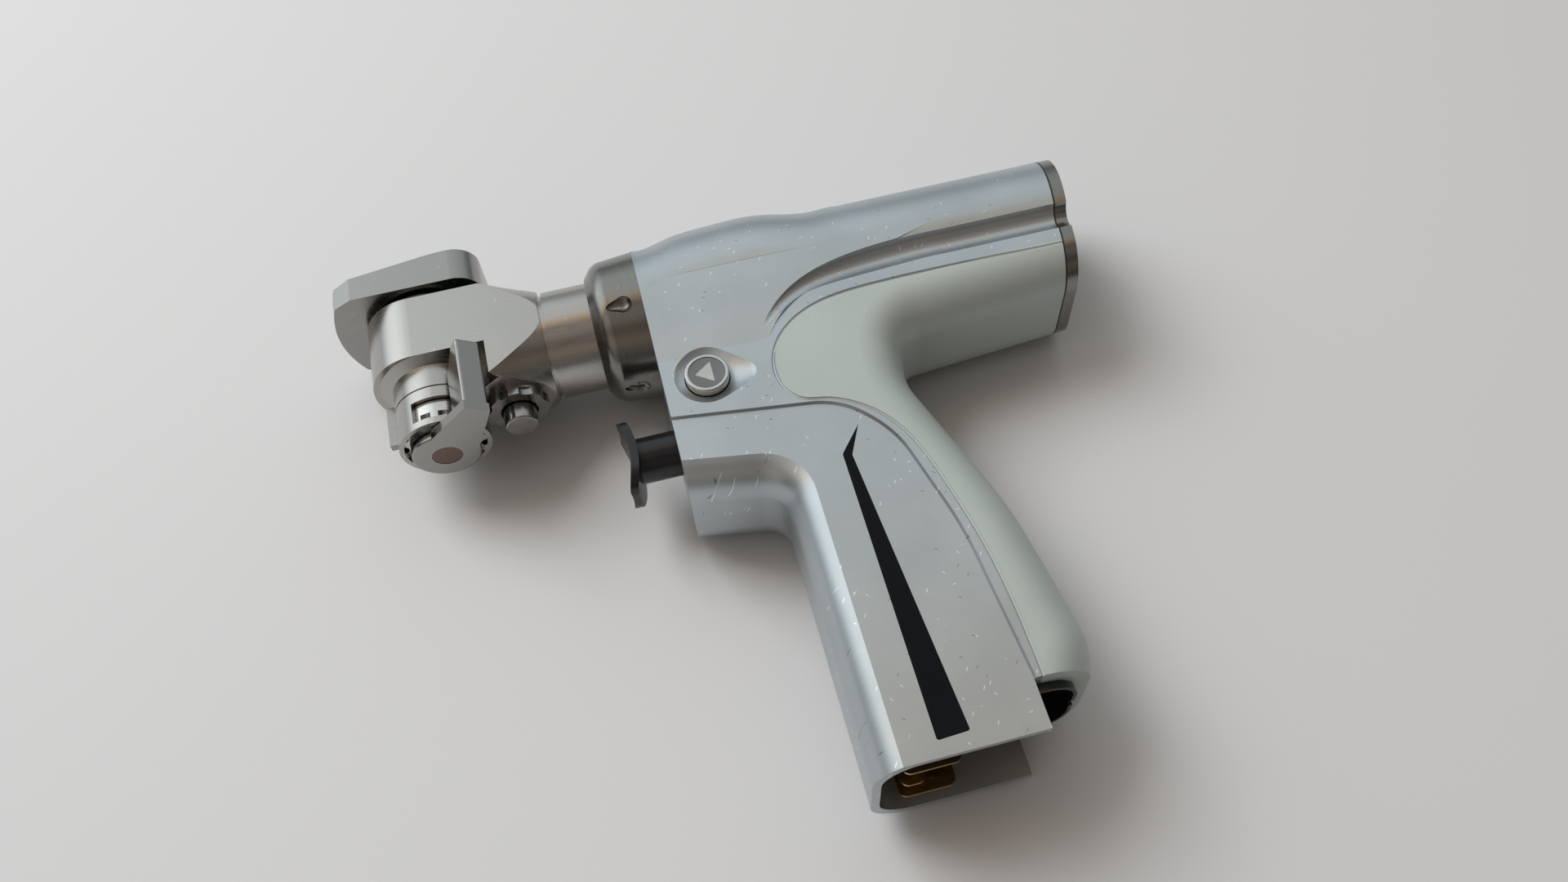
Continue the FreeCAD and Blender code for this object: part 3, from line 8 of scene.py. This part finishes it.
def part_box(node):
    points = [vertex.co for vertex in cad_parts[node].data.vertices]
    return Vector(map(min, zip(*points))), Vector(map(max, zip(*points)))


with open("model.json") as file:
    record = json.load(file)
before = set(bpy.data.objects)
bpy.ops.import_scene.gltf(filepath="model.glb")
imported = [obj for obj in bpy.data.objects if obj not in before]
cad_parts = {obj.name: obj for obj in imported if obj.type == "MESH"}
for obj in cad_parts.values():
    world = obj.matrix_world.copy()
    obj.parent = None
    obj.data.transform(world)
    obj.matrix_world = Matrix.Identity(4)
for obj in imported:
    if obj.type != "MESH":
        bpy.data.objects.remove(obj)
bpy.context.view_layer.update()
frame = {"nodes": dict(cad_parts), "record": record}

MILLIMETRE = 0.001

# Front end of the barrel's axis, which the other places are measured from
CAN_LOW, CAN_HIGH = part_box("motor_can")
AXIS = Vector((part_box("collar")[1].x, (CAN_LOW.y + CAN_HIGH.y) / 2, (CAN_LOW.z + CAN_HIGH.z) / 2))
# Foot of the grip
FOOT_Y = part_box("housing")[0].y

# Camera: place in millimetres from the front end of the axis, and the photograph's viewing angle
CAMERA_PLACE = (-4.7, -222.0, 290.6)
CAMERA_AZIMUTH = math.radians(-10.71)
CAMERA_ELEVATION = math.radians(58.66)
CAMERA_ROLL = math.radians(-4.11)
CAMERA_LENS = 29.11
SENSOR_WIDTH = 36.0

# Colours, linear
ALUMINIUM = (0.48, 0.525, 0.55)
SKIN = (0.445, 0.50, 0.48)
# Painted shade inside the battery socket: dark on the near walls, lighter on the far wall
SOCKET_NEAR_PAINTED_SHADE = (0.04, 0.042, 0.043)
SOCKET_FAR_PAINTED_SHADE = (0.24, 0.24, 0.235)
STEEL = (0.45, 0.435, 0.41)
ROUND_STEEL = (0.34, 0.335, 0.32)
DARK_STEEL = (0.24, 0.235, 0.22)
BRIGHT_STEEL = (0.60, 0.59, 0.57)
SPRING_STEEL = (0.5, 0.5, 0.5)
BRONZE = (0.17, 0.115, 0.10)
GOLD = (0.62, 0.42, 0.16)
COPPER = (0.60, 0.28, 0.14)
MAGNET = (0.25, 0.25, 0.26)
BLACK = (0.007, 0.008, 0.010)
STRIPE = (0.004, 0.005, 0.007)
RUBBER = (0.02, 0.02, 0.02)
DARK_GREY = (0.12, 0.13, 0.135)
PALE_GREY = (0.38, 0.39, 0.39)
CIRCUIT = (0.02, 0.10, 0.05)
FLOOR = (0.61, 0.62, 0.635)

# Metals. The grain is the texture's scale along X, Y and Z. The last three, where they
# aren't the usual: contrast of the grain lines, strength of the cloud, height of the grain
METALS = {
    "steel_turned_x": dict(color=DARK_STEEL, roughness=0.22, grain=(5200, 300, 300), relief=0.02),
    "steel_turned_y": dict(color=ROUND_STEEL, roughness=0.22, grain=(300, 5200, 300), relief=0.02),
    "steel_bright": dict(color=BRIGHT_STEEL, roughness=0.22, grain=(900, 3200, 900)),
    "steel_plate": dict(
        color=STEEL, roughness=0.26, grain=(160, 3000, 160),
        contrast=0.03, cloudy=0.05, relief=0.004),
    "steel_clamp": dict(
        color=ROUND_STEEL, roughness=0.24, grain=(160, 3000, 160),
        contrast=0.03, cloudy=0.05, relief=0.004),
    "steel_lever": dict(
        color=ROUND_STEEL, roughness=0.18, grain=(120, 120, 3500),
        contrast=0.04, cloudy=0.03, relief=0.006),
    "spring_steel": dict(color=SPRING_STEEL, roughness=0.3, grain=(900, 900, 900)),
    "magnet": dict(color=MAGNET, roughness=0.4, grain=(900, 900, 900)),
    "bronze": dict(color=BRONZE, roughness=0.36, grain=(700, 700, 700), contrast=0.14),
    "copper": dict(color=COPPER, roughness=0.35, grain=(3000, 500, 500), contrast=0.2),
    "gold": dict(
        color=GOLD, roughness=0.22, grain=(300, 900, 300),
        contrast=0.02, cloudy=0.02, relief=0.002),
}
# Span of the noise that grain lines and roughness follow; span, scale and shade of the
# metals' darker cloud; and how far their roughness strays
LINE_SPAN = (0.3, 0.7)
CLOUD_SPAN = (0.45, 0.75)
CLOUD_SCALE = 60.0
CLOUD_SHADE = 0.75
METAL_SPREAD = (-0.04, 0.06)
# Nicks in metal: lean and cells per metre of each kind, then what all share
METAL_NICKS = [(25.0, 300.0), (-50.0, 340.0)]
NICK_SIZE = 0.04
NICK_RARITY = 0.58
NICK_SHADE = 1.5
GRAIN_DISTANCE = 0.1 * MILLIMETRE

# Plastics and rubber, with the gloss where it isn't the usual
PLASTICS = {
    "black_plastic": dict(color=BLACK, roughness=0.28),
    "stripe_black": dict(color=STRIPE, roughness=0.5, gloss=0.1),
    "grey_plastic": dict(color=DARK_GREY, roughness=0.45),
    "pale_plastic": dict(color=PALE_GREY, roughness=0.5),
    "circuit": dict(color=CIRCUIT, roughness=0.4),
    "seal_rubber": dict(color=RUBBER, roughness=0.6),
}
# Moulded grain with its relief, scale of the cloud, and how far the roughness strays
MOULD_GRAIN = 1800.0
MOULD_RELIEF = 0.12
MOULD_DISTANCE = 0.12 * MILLIMETRE
MOULD_CLOUD_SCALE = 70.0
MOULD_SPREAD = (-0.05, 0.06)

# Cloudy colours: span of the noise, and the shades that it runs between
MOULD_CLOUD = ((0.35, 0.7), (0.85, 1.2))
ALUMINIUM_CLOUD = ((0.35, 0.7), (0.94, 1.05))
SKIN_CLOUD = ((0.3, 0.75), (0.96, 1.03))

# Finish of a material slot, where it isn't named after the slot, and of single nodes
SLOT_FINISHES = {"steel": "steel_turned_y"}
NODE_FINISHES = {
    "collar": "steel_turned_x",
    "rear_cap": "steel_turned_x",
    "head_body": "steel_plate",
    "clamp_cap": "steel_clamp",
    "clamp_lever": "steel_lever",
}

# Body: scale of the cloud, how metallic and how rough bare aluminium and pale skin are,
# and the fine grain
BODY_CLOUD_SCALE = 40.0
METAL_SHARES = (0.92, 0.3)
BODY_ROUGHNESS = (0.36, 0.5)
BODY_GRAIN = 2600.0
BODY_RELIEF = 0.08

# Front edge of the pale skin: millimetres above the foot of the grip, and the
# edge's distance behind the barrel's front face
SKIN_EDGE = [
    (0.0, 67.0), (26.2, 66.7), (44.7, 65.2), (65.8, 61.2), (82.6, 55.7), (89.0, 51.2),
    (93.4, 45.9), (96.4, 39.4), (97.9, 33.9), (103.0, 29.8), (115.7, 31.0), (125.0, 41.0),
    (128.8, 62.0), (129.4, 130.0),
]
# Millimetres that the curve's full width and height stand for
SKIN_SPAN = 160.0
SKIN_BLUR = 0.2 * MILLIMETRE

# Surface halfway through the walls of the battery socket: half width, corner radius, height
# above the foot, front wall, and the rear wall at the foot with its lean
SOCKET_HALF_WIDTH = 17.2 * MILLIMETRE
SOCKET_CORNER = 10.0 * MILLIMETRE
SOCKET_HEIGHT = 61.9 * MILLIMETRE
SOCKET_FRONT = 24.9 * MILLIMETRE
SOCKET_REAR = 79.2 * MILLIMETRE
SOCKET_LEAN = -0.083
# Height from the barrel's axis between which the far wall's painted shade turns into the near
# walls'
SOCKET_TURN = (-12.0 * MILLIMETRE, -10.0 * MILLIMETRE)
# A face counts as an end face when its normal lies along the grip by this share or more
END_FACE = 0.7
# Share of the metal look that is left on the socket's walls
SOCKET_METAL = 0.2

# Marks of wear on the body: lean, cells per metre, size, rarity, colour and strength
BODY_MARKS = [
    (20.0, 260.0, 0.038, 0.49, (0.95, 0.96, 0.97), 0.8),
    (-35.0, 290.0, 0.036, 0.50, (0.95, 0.96, 0.97), 0.8),
    (75.0, 230.0, 0.034, 0.51, (0.93, 0.94, 0.95), 0.7),
    (-60.0, 290.0, 0.038, 0.52, (0.10, 0.10, 0.10), 0.7),
    (40.0, 270.0, 0.036, 0.53, (0.12, 0.12, 0.12), 0.6),
]
# Share of their strength that is left on the skin
SKIN_MARKS = 0.12
# Marks are cells of a tilted plane, drawn out lengthwise and shown in patches
MARK_TILT = (math.radians(20.0), math.radians(-25.0))
MARK_STRETCH = 0.22
PATCH_CELLS = 3.0
PATCH_EDGE = 0.04

# Colour of the room along the arc from the tool's top side (0) over straight up (0.5)
# to the photographer's side (1)
ROOM_ARC = [
    (0.0, (0.20, 0.21, 0.23)), (0.09, (0.42, 0.46, 0.49)), (0.17, (0.76, 0.81, 0.84)),
    (0.294, (0.74, 0.79, 0.81)), (0.37, (0.72, 0.76, 0.78)), (0.41, (0.86, 0.69, 0.51)),
    (0.455, (0.62, 0.46, 0.33)), (0.495, (0.17, 0.14, 0.12)), (0.545, (0.34, 0.32, 0.31)),
    (0.62, (0.30, 0.27, 0.25)), (0.70, (0.12, 0.11, 0.10)), (0.80, (0.30, 0.24, 0.19)),
    (0.95, (0.10, 0.10, 0.10)),
]
# Brightness of the room from the head's side (0) to the rear (1)
ROOM_SIDE = [
    (0.0, 0.35), (0.045, 0.45), (0.075, 1.5), (0.11, 2.1), (0.25, 2.1), (0.36, 1.6),
    (0.46, 1.05), (0.62, 1.0), (0.80, 0.80), (1.0, 0.35),
]
SKY_STRENGTH = 1.0

# Key lamp, in metres and watts
KEY_PLACE = (-0.60, 0.62, 1.0)
KEY_SIZE = 0.7
KEY_POWER = 11.0

# Floor: metres to each side, cells of its cloud per metre, darkest shade and roughness
FLOOR_REACH = 3.0
FLOOR_CLOUD_SCALE = 3.0
FLOOR_SHADE = 0.97
FLOOR_ROUGHNESS = 0.9


class Graph:
    """A material's node tree with short calls for the nodes used here."""

    def __init__(self, name):
        self.material = bpy.data.materials.new(name)
        self.material.use_nodes = True
        self.tree = self.material.node_tree
        self.tree.nodes.clear()
        output = self.tree.nodes.new("ShaderNodeOutputMaterial")
        self.shader = self.tree.nodes.new("ShaderNodeBsdfPrincipled")
        self.link(self.shader.outputs[0], output.inputs[0])
        places = self.tree.nodes.new("ShaderNodeTexCoord").outputs
        self.place = places["Object"]
        self.facing = places["Normal"]

    def link(self, source, target):
        self.tree.links.new(source, target)

    def feed(self, socket, value):
        """A number or a colour is set on the socket itself, anything else is linked to it."""
        if isinstance(value, (int, float)):
            socket.default_value = value
        elif isinstance(value, tuple):
            socket.default_value = (*value, 1.0)
        else:
            self.link(value, socket)

    def set(self, **values):
        for name, value in values.items():
            self.feed(self.shader.inputs[name.replace("_", " ")], value)

    def math(self, operation, first, second=0.0, third=0.0):
        node = self.tree.nodes.new("ShaderNodeMath")
        node.operation = operation
        for socket, value in zip(node.inputs, (first, second, third)):
            self.feed(socket, value)
        return node.outputs[0]

    def stretch(self, scale, place=None):
        node = self.tree.nodes.new("ShaderNodeMapping")
        node.inputs["Scale"].default_value = scale
        self.link(place or self.place, node.inputs["Vector"])
        return node.outputs[0]

    def noise(self, scale, detail=3.0, roughness=0.55, place=None):
        node = self.tree.nodes.new("ShaderNodeTexNoise")
        node.inputs["Scale"].default_value = scale
        node.inputs["Detail"].default_value = detail
        node.inputs["Roughness"].default_value = roughness
        self.link(place or self.place, node.inputs["Vector"])
        return node.outputs["Fac"]

    def flat_cells(self, scale, place):
        node = self.tree.nodes.new("ShaderNodeTexVoronoi")
        node.voronoi_dimensions = "2D"
        node.inputs["Scale"].default_value = scale
        self.link(place, node.inputs["Vector"])
        return node.outputs["Distance"]

    def span(self, value, low, high, to_low=0.0, to_high=1.0):
        node = self.tree.nodes.new("ShaderNodeMapRange")
        node.inputs["From Min"].default_value = low
        node.inputs["From Max"].default_value = high
        node.inputs["To Min"].default_value = to_low
        node.inputs["To Max"].default_value = to_high
        self.link(value, node.inputs["Value"])
        return node.outputs[0]

    def mix(self, amount, first, second):
        node = self.tree.nodes.new("ShaderNodeMix")
        node.data_type = "RGBA"
        self.feed(node.inputs["Factor"], amount)
        self.feed(node.inputs["A"], first)
        self.feed(node.inputs["B"], second)
        return node.outputs["Result"]

    def shades(self, value, color, span, factors):
        """A colour that runs between two shades of itself over a span of the value."""
        low, high = (shade(color, factor) for factor in factors)
        return self.mix(self.span(value, *span), low, high)

    def split(self, vector):
        node = self.tree.nodes.new("ShaderNodeSeparateXYZ")
        self.link(vector, node.inputs[0])
        return node.outputs

    def bump(self, height, strength, distance):
        node = self.tree.nodes.new("ShaderNodeBump")
        node.inputs["Strength"].default_value = strength
        node.inputs["Distance"].default_value = distance
        self.link(height, node.inputs["Height"])
        self.link(node.outputs[0], self.shader.inputs["Normal"])

    def nicks(self, angle, scale, size, rarity):
        """Short leaning marks: lean, cells per metre, size as a share of a cell, and rarity."""
        lean = self.tree.nodes.new("ShaderNodeMapping")
        lean.inputs["Rotation"].default_value = (*MARK_TILT, math.radians(angle))
        self.link(self.place, lean.inputs["Vector"])
        flat = self.stretch((1.0, MARK_STRETCH, 0.0), lean.outputs[0])
        mark = self.span(self.flat_cells(scale, flat), size, size / 2)
        rare = self.span(self.noise(scale / PATCH_CELLS, 2.0), rarity, rarity + PATCH_EDGE)
        return self.math("MULTIPLY", mark, rare)

    def curve(self, value, points):
        node = self.tree.nodes.new("ShaderNodeFloatCurve")
        line = node.mapping.curves[0]
        while len(line.points) < len(points):
            line.points.new(0.5, 0.5)
        for point, (u, v) in zip(line.points, points):
            point.location = (u, v)
            point.handle_type = "AUTO_CLAMPED"
        node.mapping.update()
        self.link(value, node.inputs["Value"])
        return node.outputs[0]


def shade(color, factor):
    return tuple(channel * factor for channel in color)


def brushed_metal(name, color, roughness, grain, contrast=0.10, cloudy=0.12, relief=0.04):
    """Satin metal with fine grain lines, a darker cloud and small nicks."""
    graph = Graph(name)
    lines = graph.noise(1.0, detail=4.0, roughness=0.6, place=graph.stretch(grain))
    tone = graph.shades(lines, color, LINE_SPAN, (1 - contrast, 1 + contrast))
    cloud = graph.span(graph.noise(CLOUD_SCALE), *CLOUD_SPAN, 0.0, cloudy)
    tone = graph.mix(cloud, tone, shade(color, CLOUD_SHADE))
    for angle, scale in METAL_NICKS:
        nick = graph.nicks(angle, scale, NICK_SIZE, NICK_RARITY)
        tone = graph.mix(nick, tone, shade(color, NICK_SHADE))
    low, high = METAL_SPREAD
    rough = graph.span(lines, *LINE_SPAN, roughness + low, roughness + high)
    graph.set(Base_Color=tone, Metallic=1.0, Roughness=rough)
    graph.bump(lines, relief, GRAIN_DISTANCE)
    return graph.material


def moulded_plastic(name, color, roughness, gloss=0.5):
    """Plastic or rubber with a fine moulded grain and slightly uneven colour and gloss."""
    graph = Graph(name)
    cloud = graph.noise(MOULD_CLOUD_SCALE)
    tone = graph.shades(cloud, color, *MOULD_CLOUD)
    low, high = MOULD_SPREAD
    rough = graph.span(cloud, *LINE_SPAN, roughness + low, roughness + high)
    graph.set(Base_Color=tone, Roughness=rough, Specular_IOR_Level=gloss)
    graph.bump(graph.noise(MOULD_GRAIN), MOULD_RELIEF, MOULD_DISTANCE)
    return graph.material


def skin_mask(graph, up, back):
    """1 on the pale skin of the flank and the grip's back, 0 on the bare aluminium."""
    size = SKIN_SPAN * MILLIMETRE
    points = [(above / SKIN_SPAN, behind / SKIN_SPAN) for above, behind in SKIN_EDGE]
    edge = graph.math("MULTIPLY", graph.curve(graph.math("DIVIDE", up, size), points), size)
    return graph.span(graph.math("SUBTRACT", back, edge), -SKIN_BLUR, SKIN_BLUR)


def past_corner(graph, beyond):
    """How far a point lies past the start of the corner's rounding, in one direction."""
    return graph.math("MAXIMUM", graph.math("ADD", beyond, SOCKET_CORNER), 0.0)


def socket_mask(graph, up, back, aside):
    """1 on the walls inside the battery socket, where shade is painted, 0 on its end faces and
    outside.
    """
    rear = graph.math("MULTIPLY_ADD", up, SOCKET_LEAN, SOCKET_REAR)
    middle = graph.math("MULTIPLY_ADD", rear, 0.5, SOCKET_FRONT / 2)
    half = graph.math("SUBTRACT", rear, middle)
    along = graph.math("ABSOLUTE", graph.math("SUBTRACT", back, middle))
    across = graph.math("ABSOLUTE", aside)
    round_x = past_corner(graph, graph.math("SUBTRACT", along, half))
    round_z = past_corner(graph, graph.math("SUBTRACT", across, SOCKET_HALF_WIDTH))
    reach = graph.math("MULTIPLY_ADD", round_x, round_x, graph.math("MULTIPLY", round_z, round_z))
    inside = graph.math("LESS_THAN", reach, SOCKET_CORNER ** 2)
    low = graph.math("LESS_THAN", up, SOCKET_HEIGHT)
    tilt = graph.math("ABSOLUTE", graph.split(graph.facing)[1])
    wall = graph.math("LESS_THAN", tilt, END_FACE)
    return graph.math("MULTIPLY", inside, graph.math("MULTIPLY", low, wall))


def body_tone(graph, skin):
    """Cloudy aluminium and skin with their marks of wear."""
    cloud = graph.noise(BODY_CLOUD_SCALE, 4.0)
    metal = graph.shades(cloud, ALUMINIUM, *ALUMINIUM_CLOUD)
    matte = graph.shades(cloud, SKIN, *SKIN_CLOUD)
    tone = graph.mix(skin, metal, matte)
    shown = graph.span(skin, 0.0, 1.0, 1.0, SKIN_MARKS)
    for angle, scale, size, rarity, color, strength in BODY_MARKS:
        mark = graph.math("MULTIPLY", graph.nicks(angle, scale, size, rarity), strength)
        tone = graph.mix(graph.math("MULTIPLY", mark, shown), tone, color)
    return tone


def body_finish():
    """Satin aluminium at the front, pale matte skin on the flank and the grip's back, painted shade
    in the battery socket.
    """
    graph = Graph("body_aluminium")
    place = graph.split(graph.place)
    up = graph.math("SUBTRACT", place[1], FOOT_Y)
    back = graph.math("SUBTRACT", place[0], AXIS.x)
    aside = graph.math("SUBTRACT", place[2], AXIS.z)
    skin = skin_mask(graph, up, back)
    inside = socket_mask(graph, up, back, aside)
    # Painted shade in the battery socket: darker on the near walls than on the far wall
    socket = graph.mix(graph.span(aside, *SOCKET_TURN), SOCKET_FAR_PAINTED_SHADE, SOCKET_NEAR_PAINTED_SHADE)
    tone = graph.mix(inside, body_tone(graph, skin), socket)
    metal = graph.span(skin, 0.0, 1.0, *METAL_SHARES)
    metal = graph.math("MULTIPLY", metal, graph.span(inside, 0.0, 1.0, 1.0, SOCKET_METAL))
    rough = graph.span(skin, 0.0, 1.0, *BODY_ROUGHNESS)
    graph.set(Base_Color=tone, Metallic=metal, Roughness=rough)
    graph.bump(graph.noise(BODY_GRAIN, 2.0), BODY_RELIEF, GRAIN_DISTANCE)
    return graph.material


def node_finish(node, material):
    """Gives one CAD node its material in every slot."""
    piece = frame["nodes"][node]
    if not piece.material_slots:
        piece.data.materials.append(material)
    for place in piece.material_slots:
        place.material = material


def finish_all():
    finishes = {"body_aluminium": body_finish()}
    for name, values in METALS.items():
        finishes[name] = brushed_metal(name, **values)
    for name, values in PLASTICS.items():
        finishes[name] = moulded_plastic(name, **values)
    for entry in frame["record"]["subparts"]:
        node, slot = entry["node"], entry["material_slot"]
        finish = NODE_FINISHES.get(node) or SLOT_FINISHES.get(slot, slot)
        node_finish(node, finishes[finish])


def make_floor():
    """Plain pale floor under the tool."""
    mesh = bpy.data.meshes.new("floor")
    reach = FLOOR_REACH
    corners = [(-reach, -reach, 0), (reach, -reach, 0), (reach, reach, 0), (-reach, reach, 0)]
    mesh.from_pydata(corners, [], [(0, 1, 2, 3)])
    floor = bpy.data.objects.new("floor", mesh)
    bpy.context.scene.collection.objects.link(floor)
    graph = Graph("floor")
    cloud = graph.noise(FLOOR_CLOUD_SCALE, 2.0)
    tone = graph.mix(cloud, shade(FLOOR, FLOOR_SHADE), FLOOR)
    graph.set(Base_Color=tone, Roughness=FLOOR_ROUGHNESS)
    mesh.materials.append(graph.material)


def add_key_light():
    """Soft lamp from the upper left for shade and shadows; metal mirrors the room alone."""
    light = bpy.data.lights.new("key", "AREA")
    light.shape = "RECTANGLE"
    light.size = KEY_SIZE
    light.size_y = KEY_SIZE
    light.energy = KEY_POWER
    lamp = bpy.data.objects.new("key", light)
    lamp.location = KEY_PLACE
    lamp.rotation_euler = (-Vector(KEY_PLACE)).to_track_quat("-Z", "Y").to_euler()
    lamp.visible_glossy = False
    bpy.context.scene.collection.objects.link(lamp)


def color_ramp(tree, stops):
    ramp = tree.nodes.new("ShaderNodeValToRGB")
    while len(ramp.color_ramp.elements) < len(stops):
        ramp.color_ramp.elements.new(1.0)
    for point, (position, color) in zip(ramp.color_ramp.elements, stops):
        point.position = position
        point.color = (*color, 1.0)
    return ramp


def light_room():
    """World colour by direction: the arc's colour times the side's brightness."""
    world = bpy.data.worlds.new("studio")
    world.use_nodes = True
    tree = world.node_tree
    place = tree.nodes.new("ShaderNodeTexCoord")
    split = tree.nodes.new("ShaderNodeSeparateXYZ")
    tree.links.new(place.outputs["Generated"], split.inputs[0])
    turn = tree.nodes.new("ShaderNodeMath")
    turn.operation = "ARCTAN2"
    tree.links.new(split.outputs["Z"], turn.inputs[0])
    tree.links.new(split.outputs["Y"], turn.inputs[1])
    arc = tree.nodes.new("ShaderNodeMapRange")
    arc.inputs["From Max"].default_value = math.pi
    tree.links.new(turn.outputs[0], arc.inputs["Value"])
    side = tree.nodes.new("ShaderNodeMapRange")
    side.inputs["From Min"].default_value = -1.0
    tree.links.new(split.outputs["X"], side.inputs["Value"])
    along = color_ramp(tree, ROOM_ARC)
    across = color_ramp(tree, [(position, (level, level, level)) for position, level in ROOM_SIDE])
    tree.links.new(arc.outputs[0], along.inputs[0])
    tree.links.new(side.outputs[0], across.inputs[0])
    product = tree.nodes.new("ShaderNodeMix")
    product.data_type = "RGBA"
    product.blend_type = "MULTIPLY"
    product.inputs["Factor"].default_value = 1.0
    tree.links.new(along.outputs[0], product.inputs["A"])
    tree.links.new(across.outputs[0], product.inputs["B"])
    background = tree.nodes["Background"]
    tree.links.new(product.outputs["Result"], background.inputs["Color"])
    background.inputs["Strength"].default_value = SKY_STRENGTH
    bpy.context.scene.world = world


def camera_rotation():
    """Camera axes from its turn about Z, its rise over the floor and its roll."""
    turn, rise, roll = CAMERA_AZIMUTH, CAMERA_ELEVATION, CAMERA_ROLL
    flat = math.cos(rise)
    back = Vector((math.sin(turn) * flat, -math.cos(turn) * flat, math.sin(rise)))
    level = Vector((math.cos(turn), math.sin(turn), 0))
    upright = back.cross(level)
    right = level * math.cos(roll) + upright * math.sin(roll)
    up = upright * math.cos(roll) - level * math.sin(roll)
    return Matrix((right, up, back)).transposed()


def place_camera():
    camera = bpy.data.cameras.new("camera")
    camera.lens = CAMERA_LENS
    camera.sensor_width = SENSOR_WIDTH
    holder = bpy.data.objects.new("camera", camera)
    place = AXIS + Vector(CAMERA_PLACE) * MILLIMETRE
    holder.matrix_world = Matrix.Translation(place) @ camera_rotation().to_4x4()
    bpy.context.scene.collection.objects.link(holder)
    bpy.context.scene.camera = holder


finish_all()
make_floor()
add_key_light()
light_room()
place_camera()
bpy.context.scene.view_settings.view_transform = "Standard"
